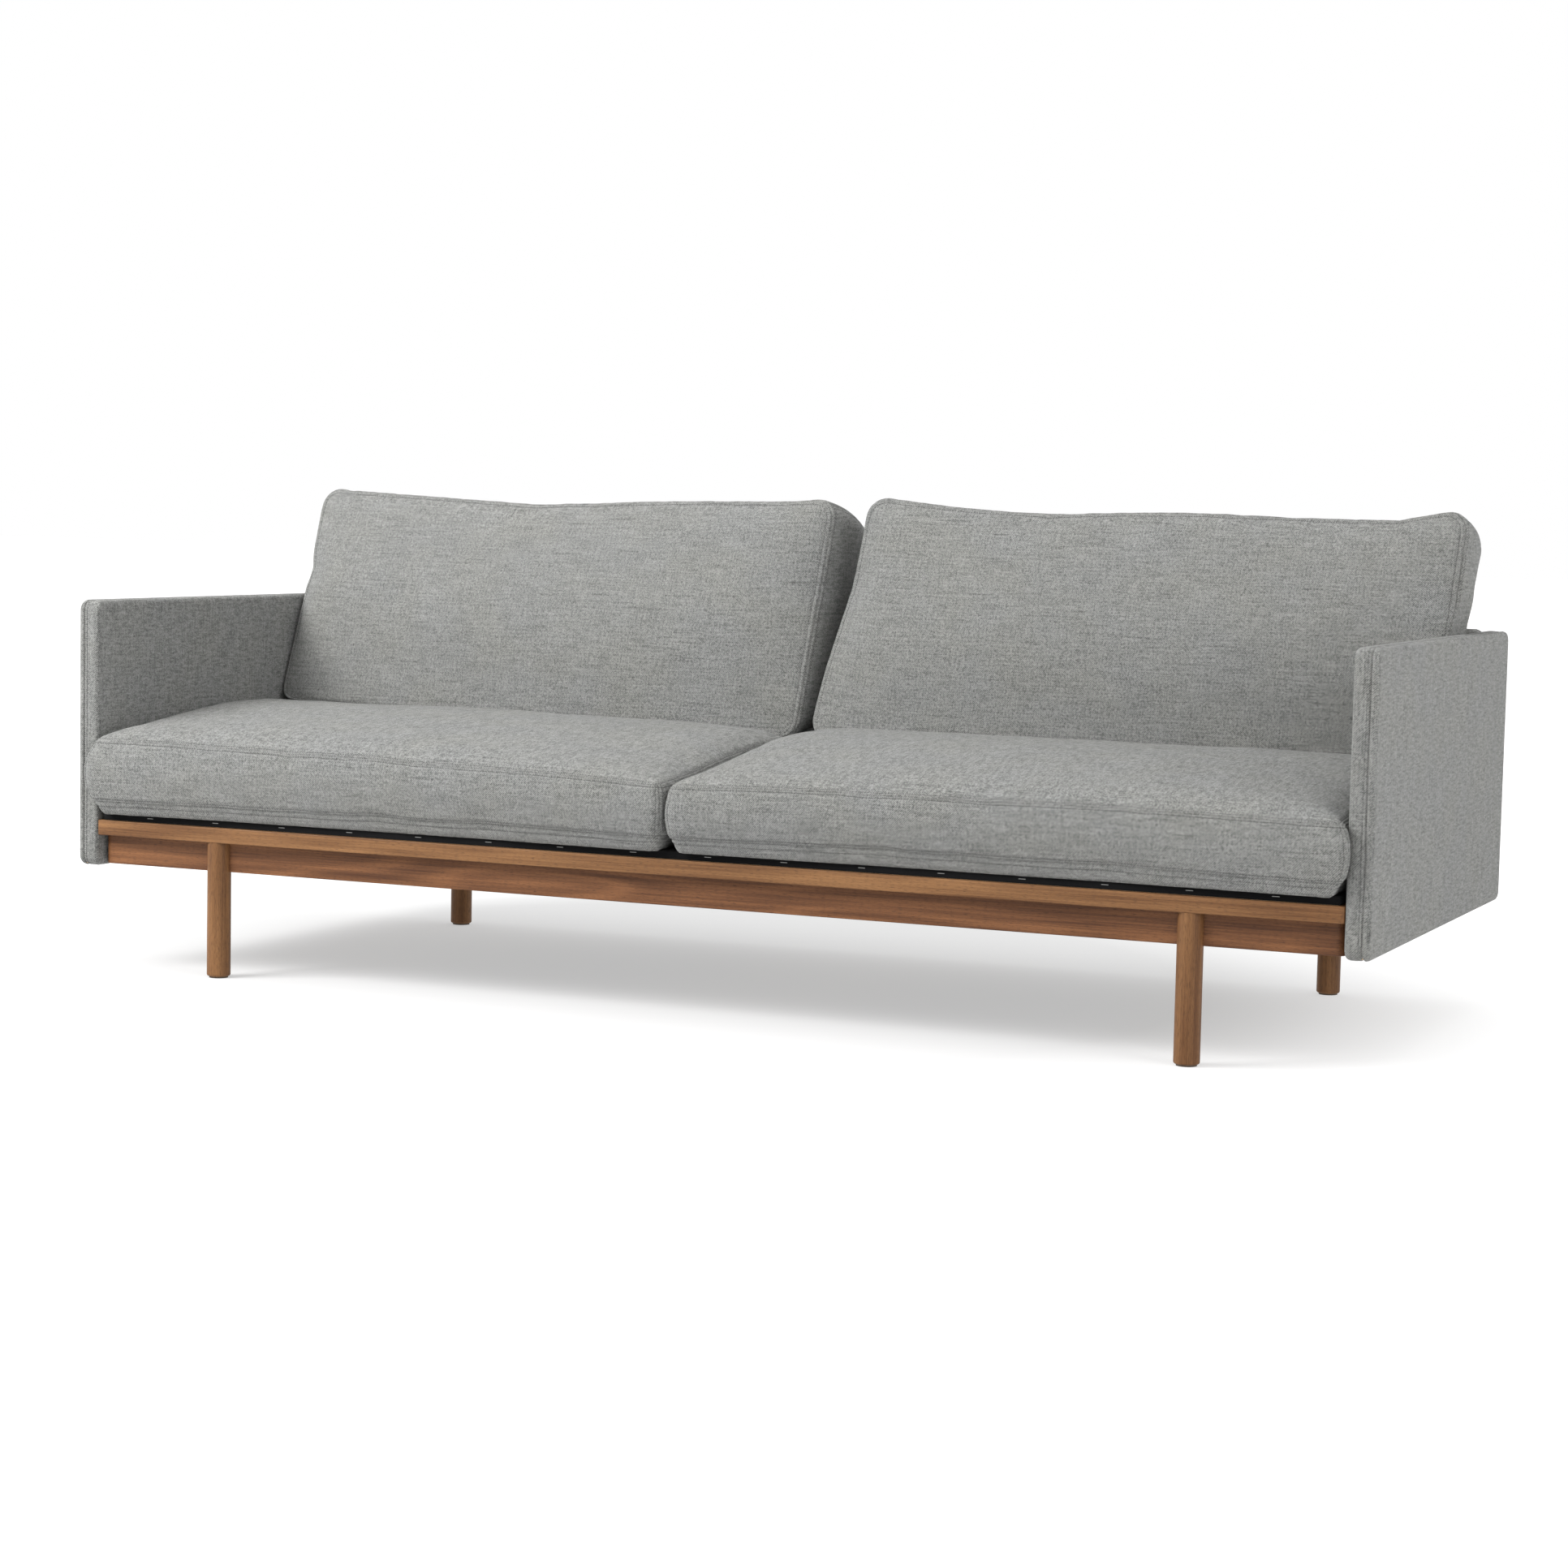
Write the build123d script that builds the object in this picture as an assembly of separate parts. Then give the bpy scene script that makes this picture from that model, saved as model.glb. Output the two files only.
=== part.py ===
from build123d import *
import math
import os

# Three-seat sofa: a low oak box frame on four round legs, slim upholstered arms and back,
# two loose seat cushions and two loose back cushions.
# Millimetres. +X is to the right of someone facing the sofa, +Y is towards its back, +Z is up.
# "left" and "right" are seen from the front. The floor is z = 0.

# Overall
OVERALL_WIDTH = 2200.0          # across the outer faces of the arms
FRONT_Y = -430.0                # front face of the arms and of the oak cap rail
REAR_Y = 460.0                  # rear face of the arms and of the back panel
CUSHION_OVERHANG = 30.0         # seat cushions stand this far in front of the arms
PANEL_THICK = 38.0              # arm and back panels, upholstery included
INNER_X = OVERALL_WIDTH / 2 - PANEL_THICK
FRAME_REAR_Y = REAR_Y - PANEL_THICK

# Oak frame
CAP_TOP = 250.0
CAP_THICK = 25.0
CAP_WIDTH = 80.0
CAP_CORNER_RADIUS = 6.0
CAP_BOTTOM = CAP_TOP - CAP_THICK
APRON_BOTTOM = 176.0
APRON_THICK = 20.0
APRON_END_SETBACK = 3.5
APRON_CORNER_RADIUS = 12.0
EDGE_ROUND = 1.5
LEG_DIAMETER = 39.0
LEG_RADIUS = LEG_DIAMETER / 2
LEG_X = 832.0
LEG_FOOT_ROUND = 3.5
GLIDE_THICK = 2.5
GLIDE_DIAMETER = 31.0
CROSS_RAIL_X = 772.0
CROSS_RAIL_THICK = 22.0
CROSS_RAIL_BOTTOM = 180.0
CORNER_BLOCK_LEG = 70.0
DOWEL_DIAMETER = 10.0
DOWEL_LENGTH = 60.0
PAIR_PLACES = (0.28, 0.72)      # where a pair of dowels or screws sits across a width

# Deck under the seat cushions
DECK_MARGIN = 8.0               # deck edge behind the cap rail's face
DECK_SIDE_MARGIN = 10.0
DECK_BOARD_THICK = 9.0
DECK_BOARD_WIDTH = 80.0
STRAP_THICK = 1.2
STRAP_WIDTH = 60.0
STRAPS_FRONT_TO_BACK = 13
STRAPS_LENGTHWISE = 4
CLOTH_THICK = 0.6
CLOTH_RIM_LIFT = 0.4            # gap between the cloth's rim and the cap rail
STAPLE_CROWN = 11.0
STAPLE_WIRE = 0.8
STAPLE_LEG = 8.0
STAPLE_DROP = 2.4               # staples sit this far below the deck board's top
STAPLE_PITCH = 128.0
STAPLE_COUNT = 16

# Arms and back panel
ARM_BOTTOM = 175.0
ARM_TOP = 617.0
BACK_TOP = 619.0
BOARD_THICK = 18.0
PAD_THICK = (PANEL_THICK - BOARD_THICK) / 2
PANEL_CORNER_RADIUS = 18.0
PANEL_EDGE_RADIUS = 6.0

# Bolts
BOLT_DIAMETER = 8.0
BOLT_CLEARANCE = 8.6
BOLT_HEAD_DIAMETER = 18.0
BOLT_HEAD_THICK = 4.0
INSERT_DIAMETER = 12.0
INSERT_LENGTH = 12.0
LEG_BOLT_HEIGHTS = (189.0, 212.0)
PANEL_BOLT_HEIGHT = 200.0
ARM_BOLT_YS = (-270.0, 16.0, 300.0)
BACK_BOLT_XS = (-600.0, -200.0, 200.0, 600.0)
SPACER_DIAMETER = 24.0
MOUNT_BLOCK_LENGTH = 60.0
BRACKET_LEG = 50.0
BRACKET_HEIGHT = 40.0
BRACKET_THICK = 3.0
BRACKET_BOTTOM = 454.0
SCREW_DIAMETER = 4.0
SCREW_HEAD_DIAMETER = 8.0
SCREW_LENGTH = 22.0
SCREW_HEAD_THICK = 2.0
SCREW_FROM_CORNER = 30.0

# Cushions
COVER_THICK = 2.0
CUSHION_GAP = 0.75              # half of the gap where the two cushions meet
SEAT_SIDE_GAP = 0.8
SEAT_BOTTOM = 262.6
SEAT_EDGE_TOP = 402.0
SEAT_TOP = 438.0
SEAT_REAR_Y = 400.0
SEAT_CORNER_RADIUS = 40.0
SEAT_EDGE_RADIUS = 16.0
BACK_SIDE_GAP = 5.0
BACK_BOTTOM = 445.0
BACK_FRONT_BOTTOM_Y = 98.0
BACK_FRONT_TOP = (258.0, 802.0)     # y, z of the front top seam
BACK_REAR_TOP = (408.0, 748.0)      # y, z of the rear top seam
BACK_REAR_BOTTOM_Y = 310.0
BACK_FRONT_CROWN = 26.0
BACK_TOP_CROWN = 12.0
BACK_REAR_CROWN = 50.0
BACK_EDGE_RADIUS = 14.0

# Zips in the seat and back cushion covers
ZIP_LENGTH = 820.0
ZIP_WIDTH = 6.0
ZIP_THICK = 2.0
SLIDER_LENGTH = 12.0
SLIDER_WIDTH = 10.0
SLIDER_THICK = 3.6
SLIDER_CLEARANCE = 0.4
SEAT_ZIP_HEIGHT = 325.0
BACK_ZIP_Y = 200.0

SIDES = {"left": -1, "right": 1}


def block(x, y, z):
    """A box from its (low, high) limits along each axis."""
    size = [high - low for low, high in (x, y, z)]
    centre = [(high + low) / 2 for low, high in (x, y, z)]
    return Pos(*centre) * Box(*size)


def span(a, b):
    """Two limits in rising order, so that mirrored parts can share one formula."""
    return (min(a, b), max(a, b))


def rod_x(x, y, z, diameter):
    """A round bar along X, between the two x limits."""
    return Pos(sum(x) / 2, y, z) * Rot(0, 90, 0) * Cylinder(diameter / 2, x[1] - x[0])


def rod_y(x, y, z, diameter):
    """A round bar along Y, between the two y limits."""
    return Pos(x, sum(y) / 2, z) * Rot(90, 0, 0) * Cylinder(diameter / 2, y[1] - y[0])


def upright(x, y, z, diameter):
    """A round bar along Z, between the two z limits."""
    return Pos(x, y, sum(z) / 2) * Cylinder(diameter / 2, z[1] - z[0])


def write(node, shapes):
    """One STEP file per node; a list becomes a group of separate solids."""
    group = shapes if isinstance(shapes, list) else [shapes]
    solids = [solid for shape in group for solid in shape.solids()]
    model = solids[0] if len(solids) == 1 else Compound(children=solids)
    export_step(model, os.path.join("parts", node + ".step"))


# ---- oak frame ----

APRON_X = INNER_X - APRON_END_SETBACK
APRON_FRONT_Y = FRONT_Y + LEG_RADIUS
APRON_REAR_Y = FRAME_REAR_Y - LEG_RADIUS
APRON_INNER_FRONT_Y = APRON_FRONT_Y + APRON_THICK
APRON_INNER_REAR_Y = APRON_REAR_Y - APRON_THICK


def frame_dowels():
    """Two dowels in each butt joint between a side cap rail and the front or rear one."""
    dowels = []
    for side in SIDES.values():
        for joint_y in (FRONT_Y + CAP_WIDTH, FRAME_REAR_Y - CAP_WIDTH):
            y = (joint_y - DOWEL_LENGTH / 2, joint_y + DOWEL_LENGTH / 2)
            for place in PAIR_PLACES:
                x = side * (INNER_X - CAP_WIDTH * place)
                dowels.append(rod_y(x, y, CAP_TOP - CAP_THICK / 2, DOWEL_DIAMETER))
    return dowels


def cap_rail_long(y):
    """A full-width cap rail, its outer corners and upper edges rounded."""
    rail = block((-INNER_X, INNER_X), y, (CAP_BOTTOM, CAP_TOP))
    outer_y = FRONT_Y if y[0] == FRONT_Y else FRAME_REAR_Y
    corners = [edge for edge in rail.edges().filter_by(Axis.Z) if abs(edge.center().Y - outer_y) < 1]
    rail = fillet(corners, CAP_CORNER_RADIUS)
    outer = [edge for edge in rail.edges().filter_by(Axis.X) if abs(edge.center().Y - outer_y) < 1]
    rail = fillet(outer, EDGE_ROUND)
    return rail - frame_dowels()


def cap_rail_side(side):
    x = span(side * (INNER_X - CAP_WIDTH), side * INNER_X)
    y = (FRONT_Y + CAP_WIDTH, FRAME_REAR_Y - CAP_WIDTH)
    return block(x, y, (CAP_BOTTOM, CAP_TOP)) - frame_dowels()


def leg_bolt_holes(y):
    """Clearance holes for the two bolts of each leg, through the apron."""
    return [rod_y(side * LEG_X, y, z, BOLT_CLEARANCE) for side in SIDES.values() for z in LEG_BOLT_HEIGHTS]


def apron_long(y):
    """A front or rear apron, its outer corners rounded and its lower edges eased."""
    rail = block((-APRON_X, APRON_X), y, (APRON_BOTTOM, CAP_BOTTOM))
    outer_y = APRON_FRONT_Y if y[0] == APRON_FRONT_Y else APRON_REAR_Y
    corners = [edge for edge in rail.edges().filter_by(Axis.Z) if abs(edge.center().Y - outer_y) < 1]
    rail = fillet(corners, APRON_CORNER_RADIUS)
    lower = rail.edges().filter_by(Axis.X).group_by(Axis.Z)[0]
    return fillet(lower, EDGE_ROUND) - leg_bolt_holes(y)


def apron_rear():
    y = (APRON_INNER_REAR_Y, APRON_REAR_Y)
    bolts = [rod_y(x, y, PANEL_BOLT_HEIGHT, BOLT_CLEARANCE) for x in BACK_BOLT_XS]
    return apron_long(y) - bolts


def apron_side(side):
    x = span(side * (APRON_X - APRON_THICK), side * APRON_X)
    rail = block(x, (APRON_INNER_FRONT_Y, APRON_INNER_REAR_Y), (APRON_BOTTOM, CAP_BOTTOM))
    rail = fillet(rail.edges().filter_by(Axis.Y).group_by(Axis.Z)[0], EDGE_ROUND)
    return rail - [rod_x(x, y, PANEL_BOLT_HEIGHT, BOLT_CLEARANCE) for y in ARM_BOLT_YS]


def cross_rail(x):
    half = CROSS_RAIL_THICK / 2
    y = (APRON_INNER_FRONT_Y, APRON_INNER_REAR_Y)
    return block((x - half, x + half), y, (CROSS_RAIL_BOTTOM, CAP_BOTTOM))


def corner_blocks():
    """Triangular glue blocks in the four inner corners of the aprons."""
    blocks = []
    inner_x = APRON_X - APRON_THICK
    for side in SIDES.values():
        for corner_y, inward in ((APRON_INNER_FRONT_Y, 1), (APRON_INNER_REAR_Y, -1)):
            corner = (side * inner_x, corner_y)
            along_x = (side * (inner_x - CORNER_BLOCK_LEG), corner_y)
            along_y = (side * inner_x, corner_y + inward * CORNER_BLOCK_LEG)
            face = make_face(Polyline(corner, along_x, along_y, close=True))
            height = CAP_BOTTOM - CROSS_RAIL_BOTTOM
            blocks.append(Pos(0, 0, CROSS_RAIL_BOTTOM) * extrude(face, amount=height, dir=(0, 0, 1)))
    return blocks


def leg(side, end):
    """A round leg whose top half laps the face of the apron; end is -1 in front and 1 behind."""
    y = APRON_FRONT_Y if end < 0 else APRON_REAR_Y
    post = upright(side * LEG_X, y, (GLIDE_THICK, CAP_BOTTOM), LEG_DIAMETER)
    post = fillet(post.edges().group_by(Axis.Z)[0], LEG_FOOT_ROUND)
    lap = block(
        (side * LEG_X - LEG_DIAMETER, side * LEG_X + LEG_DIAMETER),
        span(y, y - end * LEG_DIAMETER),
        (APRON_BOTTOM, CAP_BOTTOM),
    )
    insert_y = span(y, y + end * INSERT_LENGTH)
    return post - lap - [rod_y(side * LEG_X, insert_y, z, INSERT_DIAMETER) for z in LEG_BOLT_HEIGHTS]


def foot_glide(side, end):
    y = APRON_FRONT_Y if end < 0 else APRON_REAR_Y
    return upright(side * LEG_X, y, (0, GLIDE_THICK), GLIDE_DIAMETER)


def leg_inserts():
    inserts = []
    for y, end in ((APRON_FRONT_Y, -1), (APRON_REAR_Y, 1)):
        reach = span(y, y + end * INSERT_LENGTH)
        for side in SIDES.values():
            for z in LEG_BOLT_HEIGHTS:
                sleeve = rod_y(side * LEG_X, reach, z, INSERT_DIAMETER)
                inserts.append(sleeve - rod_y(side * LEG_X, reach, z, BOLT_DIAMETER))
    return inserts


def leg_bolts():
    bolts = []
    for y, end in ((APRON_FRONT_Y, -1), (APRON_REAR_Y, 1)):
        inner = y - end * APRON_THICK
        for side in SIDES.values():
            for z in LEG_BOLT_HEIGHTS:
                shank = rod_y(side * LEG_X, span(inner, y + end * INSERT_LENGTH), z, BOLT_DIAMETER)
                head = rod_y(side * LEG_X, span(inner, inner - end * BOLT_HEAD_THICK), z, BOLT_HEAD_DIAMETER)
                bolts.append(shank + head)
    return bolts


# ---- deck ----

DECK_X = INNER_X - DECK_SIDE_MARGIN
DECK_Y = (FRONT_Y + DECK_MARGIN, FRAME_REAR_Y - DECK_MARGIN)
DECK_BOARD_TOP = CAP_TOP + DECK_BOARD_THICK
STRAP_MIDDLE = DECK_BOARD_TOP + STRAP_THICK
STRAP_TOP = STRAP_MIDDLE + STRAP_THICK


def deck_board_long(y):
    return block((-DECK_X, DECK_X), y, (CAP_TOP, DECK_BOARD_TOP))


def deck_board_side(side):
    x = span(side * (DECK_X - DECK_BOARD_WIDTH), side * DECK_X)
    y = (DECK_Y[0] + DECK_BOARD_WIDTH, DECK_Y[1] - DECK_BOARD_WIDTH)
    return block(x, y, (CAP_TOP, DECK_BOARD_TOP))


def spread(low, high, count):
    """Evenly spaced places from low to high."""
    return [low + (high - low) * i / (count - 1) for i in range(count)]


def webbing_front_to_back():
    half = STRAP_WIDTH / 2
    margin = DECK_BOARD_WIDTH + STRAP_WIDTH
    xs = spread(-DECK_X + margin, DECK_X - margin, STRAPS_FRONT_TO_BACK)
    return [block((x - half, x + half), DECK_Y, (DECK_BOARD_TOP, STRAP_MIDDLE)) for x in xs]


def webbing_lengthwise():
    half = STRAP_WIDTH / 2
    margin = DECK_BOARD_WIDTH + STRAP_WIDTH
    ys = spread(DECK_Y[0] + margin, DECK_Y[1] - margin, STRAPS_LENGTHWISE)
    return [block((-DECK_X, DECK_X), (y - half, y + half), (STRAP_MIDDLE, STRAP_TOP)) for y in ys]


def deck_cloth():
    """Black cloth drawn over the webbing and down over the deck's edges."""
    outer = block(
        (-DECK_X - CLOTH_THICK, DECK_X + CLOTH_THICK),
        (DECK_Y[0] - CLOTH_THICK, DECK_Y[1] + CLOTH_THICK),
        (CAP_TOP + CLOTH_RIM_LIFT, STRAP_TOP + CLOTH_THICK),
    )
    return outer - block((-DECK_X, DECK_X), DECK_Y, (CAP_TOP, STRAP_TOP))


def deck_staples():
    """Wire staples that hold the cloth's front rim to the deck's edge."""
    staples = []
    face_y = DECK_Y[0] - CLOTH_THICK
    z = (DECK_BOARD_TOP - STAPLE_DROP, DECK_BOARD_TOP - STAPLE_DROP + STAPLE_WIRE)
    reach = STAPLE_PITCH * (STAPLE_COUNT - 1) / 2
    for x in spread(-reach, reach, STAPLE_COUNT):
        low, high = x - STAPLE_CROWN / 2, x + STAPLE_CROWN / 2
        crown = block((low, high), (face_y - STAPLE_WIRE, face_y), z)
        for leg_x in ((low, low + STAPLE_WIRE), (high - STAPLE_WIRE, high)):
            crown += block(leg_x, (face_y, face_y + STAPLE_LEG), z)
        staples.append(crown)
    return staples


# ---- arms and back panel ----


def arm_board(side):
    """The arm's inner board, with bores for the threaded inserts."""
    inner = INNER_X + PAD_THICK
    x = span(side * inner, side * (inner + BOARD_THICK))
    board = block(x, (FRONT_Y + PAD_THICK, REAR_Y - PAD_THICK), (ARM_BOTTOM, ARM_TOP - PAD_THICK))
    return board - panel_insert_bores(side)


def panel_insert_bores(side):
    inner = INNER_X + PAD_THICK
    reach = span(side * inner, side * (inner + INSERT_LENGTH))
    return [rod_x(reach, y, PANEL_BOLT_HEIGHT, INSERT_DIAMETER) for y in ARM_BOLT_YS]


def arm_cover(side):
    """Foam and fabric around the board, open underneath where the board slides in."""
    pad = block(
        span(side * INNER_X, side * OVERALL_WIDTH / 2),
        (FRONT_Y, REAR_Y),
        (ARM_BOTTOM, ARM_TOP),
    )
    corners = pad.edges().filter_by(Axis.X).group_by(Axis.Z)[-1]
    pad = fillet(corners, PANEL_CORNER_RADIUS)
    faces = [pad.faces().sort_by(Axis.X)[end] for end in (0, -1)]
    outline = [edge for face in faces for edge in face.edges() if edge.center().Z > ARM_BOTTOM + 1]
    pad = fillet(outline, PANEL_EDGE_RADIUS)
    inner = INNER_X + PAD_THICK
    slot = block(
        span(side * inner, side * (inner + BOARD_THICK)),
        (FRONT_Y + PAD_THICK, REAR_Y - PAD_THICK),
        (ARM_BOTTOM, ARM_TOP - PAD_THICK),
    )
    bolt_x = span(side * INNER_X, side * inner)
    return pad - slot - [rod_x(bolt_x, y, PANEL_BOLT_HEIGHT, INSERT_DIAMETER) for y in ARM_BOLT_YS]


def arm_inserts():
    inserts = []
    inner = INNER_X + PAD_THICK
    for side in SIDES.values():
        reach = span(side * inner, side * (inner + INSERT_LENGTH))
        for y in ARM_BOLT_YS:
            sleeve = rod_x(reach, y, PANEL_BOLT_HEIGHT, INSERT_DIAMETER)
            inserts.append(sleeve - rod_x(reach, y, PANEL_BOLT_HEIGHT, BOLT_DIAMETER))
    return inserts


def arm_bolts():
    bolts = []
    inner = APRON_X - APRON_THICK
    tip = INNER_X + PAD_THICK + INSERT_LENGTH
    for side in SIDES.values():
        for y in ARM_BOLT_YS:
            shank = rod_x(span(side * inner, side * tip), y, PANEL_BOLT_HEIGHT, BOLT_DIAMETER)
            head_x = span(side * inner, side * (inner - BOLT_HEAD_THICK))
            bolts.append(shank + rod_x(head_x, y, PANEL_BOLT_HEIGHT, BOLT_HEAD_DIAMETER))
    return bolts


def arm_spacers():
    """Nylon rings that fill the step between the side apron and the arm."""
    rings = []
    for side in SIDES.values():
        x = span(side * APRON_X, side * INNER_X)
        for y in ARM_BOLT_YS:
            ring = rod_x(x, y, PANEL_BOLT_HEIGHT, SPACER_DIAMETER)
            rings.append(ring - rod_x(x, y, PANEL_BOLT_HEIGHT, BOLT_CLEARANCE))
    return rings


def back_insert_reach():
    inner = FRAME_REAR_Y + PAD_THICK
    return (inner, inner + INSERT_LENGTH)


def back_board():
    inner = FRAME_REAR_Y + PAD_THICK
    half = INNER_X - PAD_THICK
    board = block((-half, half), (inner, inner + BOARD_THICK), (ARM_BOTTOM, BACK_TOP - PAD_THICK))
    reach = back_insert_reach()
    return board - [rod_y(x, reach, PANEL_BOLT_HEIGHT, INSERT_DIAMETER) for x in BACK_BOLT_XS]


def back_panel_cover():
    """Foam and fabric around the back board, open underneath."""
    pad = block((-INNER_X, INNER_X), (FRAME_REAR_Y, REAR_Y), (ARM_BOTTOM, BACK_TOP))
    top_edges = pad.edges().filter_by(Axis.X).group_by(Axis.Z)[-1]
    pad = fillet(top_edges, PANEL_EDGE_RADIUS)
    inner = FRAME_REAR_Y + PAD_THICK
    half = INNER_X - PAD_THICK
    slot = block((-half, half), (inner, inner + BOARD_THICK), (ARM_BOTTOM, BACK_TOP - PAD_THICK))
    bolt_y = (FRAME_REAR_Y, inner)
    return pad - slot - [rod_y(x, bolt_y, PANEL_BOLT_HEIGHT, INSERT_DIAMETER) for x in BACK_BOLT_XS]


def back_inserts():
    reach = back_insert_reach()
    sleeves = []
    for x in BACK_BOLT_XS:
        sleeve = rod_y(x, reach, PANEL_BOLT_HEIGHT, INSERT_DIAMETER)
        sleeves.append(sleeve - rod_y(x, reach, PANEL_BOLT_HEIGHT, BOLT_DIAMETER))
    return sleeves


def back_mount_blocks():
    """Oak blocks that fill the step between the rear apron and the back panel."""
    half = MOUNT_BLOCK_LENGTH / 2
    y = (APRON_REAR_Y, FRAME_REAR_Y)
    z = (CROSS_RAIL_BOTTOM, CAP_BOTTOM)
    return [
        block((x - half, x + half), y, z) - rod_y(x, y, PANEL_BOLT_HEIGHT, BOLT_CLEARANCE)
        for x in BACK_BOLT_XS
    ]


def back_bolts():
    bolts = []
    tip = back_insert_reach()[1]
    for x in BACK_BOLT_XS:
        shank = rod_y(x, (APRON_INNER_REAR_Y, tip), PANEL_BOLT_HEIGHT, BOLT_DIAMETER)
        head_y = (APRON_INNER_REAR_Y - BOLT_HEAD_THICK, APRON_INNER_REAR_Y)
        bolts.append(shank + rod_y(x, head_y, PANEL_BOLT_HEIGHT, BOLT_HEAD_DIAMETER))
    return bolts


def corner_bracket(side):
    """A steel angle that ties the arm to the back panel, behind the back cushion."""
    z = (BRACKET_BOTTOM, BRACKET_BOTTOM + BRACKET_HEIGHT)
    on_arm = block(
        span(side * (INNER_X - BRACKET_THICK), side * INNER_X),
        (FRAME_REAR_Y - BRACKET_LEG, FRAME_REAR_Y),
        z,
    )
    on_back = block(
        span(side * (INNER_X - BRACKET_LEG), side * INNER_X),
        (FRAME_REAR_Y - BRACKET_THICK, FRAME_REAR_Y),
        z,
    )
    arm_screws, back_screws = bracket_screw_places(side)
    through_x = span(side * (INNER_X - BRACKET_THICK), side * INNER_X)
    through_y = (FRAME_REAR_Y - BRACKET_THICK, FRAME_REAR_Y)
    holes = [rod_x(through_x, y, z, SCREW_DIAMETER) for y, z in arm_screws]
    holes += [rod_y(x, through_y, z, SCREW_DIAMETER) for x, z in back_screws]
    return on_arm + on_back - holes


def bracket_screw_places(side):
    """(y, z) of the screws in the arm and (x, z) of those in the back panel."""
    heights = [BRACKET_BOTTOM + BRACKET_HEIGHT * place for place in PAIR_PLACES]
    arm_screws = [(FRAME_REAR_Y - SCREW_FROM_CORNER, z) for z in heights]
    back_screws = [(side * (INNER_X - SCREW_FROM_CORNER), z) for z in heights]
    return arm_screws, back_screws


def bracket_screws():
    screws = []
    plate_x = INNER_X - BRACKET_THICK
    plate_y = FRAME_REAR_Y - BRACKET_THICK
    for side in SIDES.values():
        arm_screws, back_screws = bracket_screw_places(side)
        for y, z in arm_screws:
            shank = rod_x(span(side * plate_x, side * (plate_x + SCREW_LENGTH)), y, z, SCREW_DIAMETER)
            cap = rod_x(span(side * (plate_x - SCREW_HEAD_THICK), side * plate_x), y, z, SCREW_HEAD_DIAMETER)
            screws.append(shank + cap)
        for x, z in back_screws:
            shank = rod_y(x, (plate_y, plate_y + SCREW_LENGTH), z, SCREW_DIAMETER)
            screws.append(shank + rod_y(x, (plate_y - SCREW_HEAD_THICK, plate_y), z, SCREW_HEAD_DIAMETER))
    return screws


# ---- loose cushions ----


def seat_form(side, inset):
    """A crowned seat cushion; inset draws every face inwards."""
    x = span(side * (CUSHION_GAP + inset), side * (INNER_X - SEAT_SIDE_GAP - inset))
    y = (FRONT_Y - CUSHION_OVERHANG + inset, SEAT_REAR_Y - inset)
    z = (SEAT_BOTTOM + inset, SEAT_TOP - inset)
    form = fillet(block(x, y, z).edges().filter_by(Axis.Z), SEAT_CORNER_RADIUS - inset)
    half_width = (x[1] - x[0]) / 2
    rise = SEAT_TOP - SEAT_EDGE_TOP
    crown_radius = (half_width ** 2 + rise ** 2) / (2 * rise)
    crown = Pos(sum(x) / 2, sum(y) / 2, z[1] - crown_radius) * Sphere(crown_radius)
    form = form & crown
    low_edges = form.edges().group_by(Axis.Z)[0]
    return fillet(low_edges, SEAT_EDGE_RADIUS - inset)


def bulge(start, end, rise):
    """An arc from start to end that stands out by rise on the left of the direction of travel."""
    run = (end[0] - start[0], end[1] - start[1])
    length = math.hypot(*run)
    middle = ((start[0] + end[0]) / 2, (start[1] + end[1]) / 2)
    out = (-run[1] / length * rise, run[0] / length * rise)
    return ThreePointArc(start, (middle[0] + out[0], middle[1] + out[1]), end)


def back_form(side, inset):
    """A leaning, crowned back cushion with a flat underside; inset draws every face inwards."""
    front_bottom = (BACK_FRONT_BOTTOM_Y + inset, BACK_BOTTOM + inset)
    front_top = (BACK_FRONT_TOP[0] + inset, BACK_FRONT_TOP[1] - inset)
    rear_top = (BACK_REAR_TOP[0] - inset, BACK_REAR_TOP[1] - inset)
    rear_bottom = (BACK_REAR_BOTTOM_Y - inset, BACK_BOTTOM + inset)
    outline = [
        bulge(front_bottom, front_top, BACK_FRONT_CROWN),
        bulge(front_top, rear_top, BACK_TOP_CROWN),
        bulge(rear_top, rear_bottom, BACK_REAR_CROWN),
        Line(rear_bottom, front_bottom),
    ]
    profile = Plane.YZ * make_face(Wire(outline))
    x = span(side * (CUSHION_GAP + inset), side * (INNER_X - BACK_SIDE_GAP - inset))
    form = Pos(x[0], 0, 0) * extrude(profile, amount=x[1] - x[0], dir=(1, 0, 0))
    ends = [edge for edge in form.edges() if min(abs(edge.center().X - end) for end in x) < 1]
    return fillet(ends, BACK_EDGE_RADIUS - inset)


def cover_of(form, side):
    """A fabric skin: the full form less the form drawn in by the cover's thickness."""
    return form(side, 0) - form(side, COVER_THICK)


def zip_span(side):
    """X limits of a zip's chain, centred on its cushion."""
    middle = side * INNER_X / 2
    return (middle - ZIP_LENGTH / 2, middle + ZIP_LENGTH / 2)


def seat_zip(side):
    half = ZIP_WIDTH / 2
    z = (SEAT_ZIP_HEIGHT - half, SEAT_ZIP_HEIGHT + half)
    return block(zip_span(side), (SEAT_REAR_Y, SEAT_REAR_Y + ZIP_THICK), z)


def back_zip(side):
    half = ZIP_WIDTH / 2
    y = (BACK_ZIP_Y - half, BACK_ZIP_Y + half)
    return block(zip_span(side), y, (BACK_BOTTOM - ZIP_THICK, BACK_BOTTOM))


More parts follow.
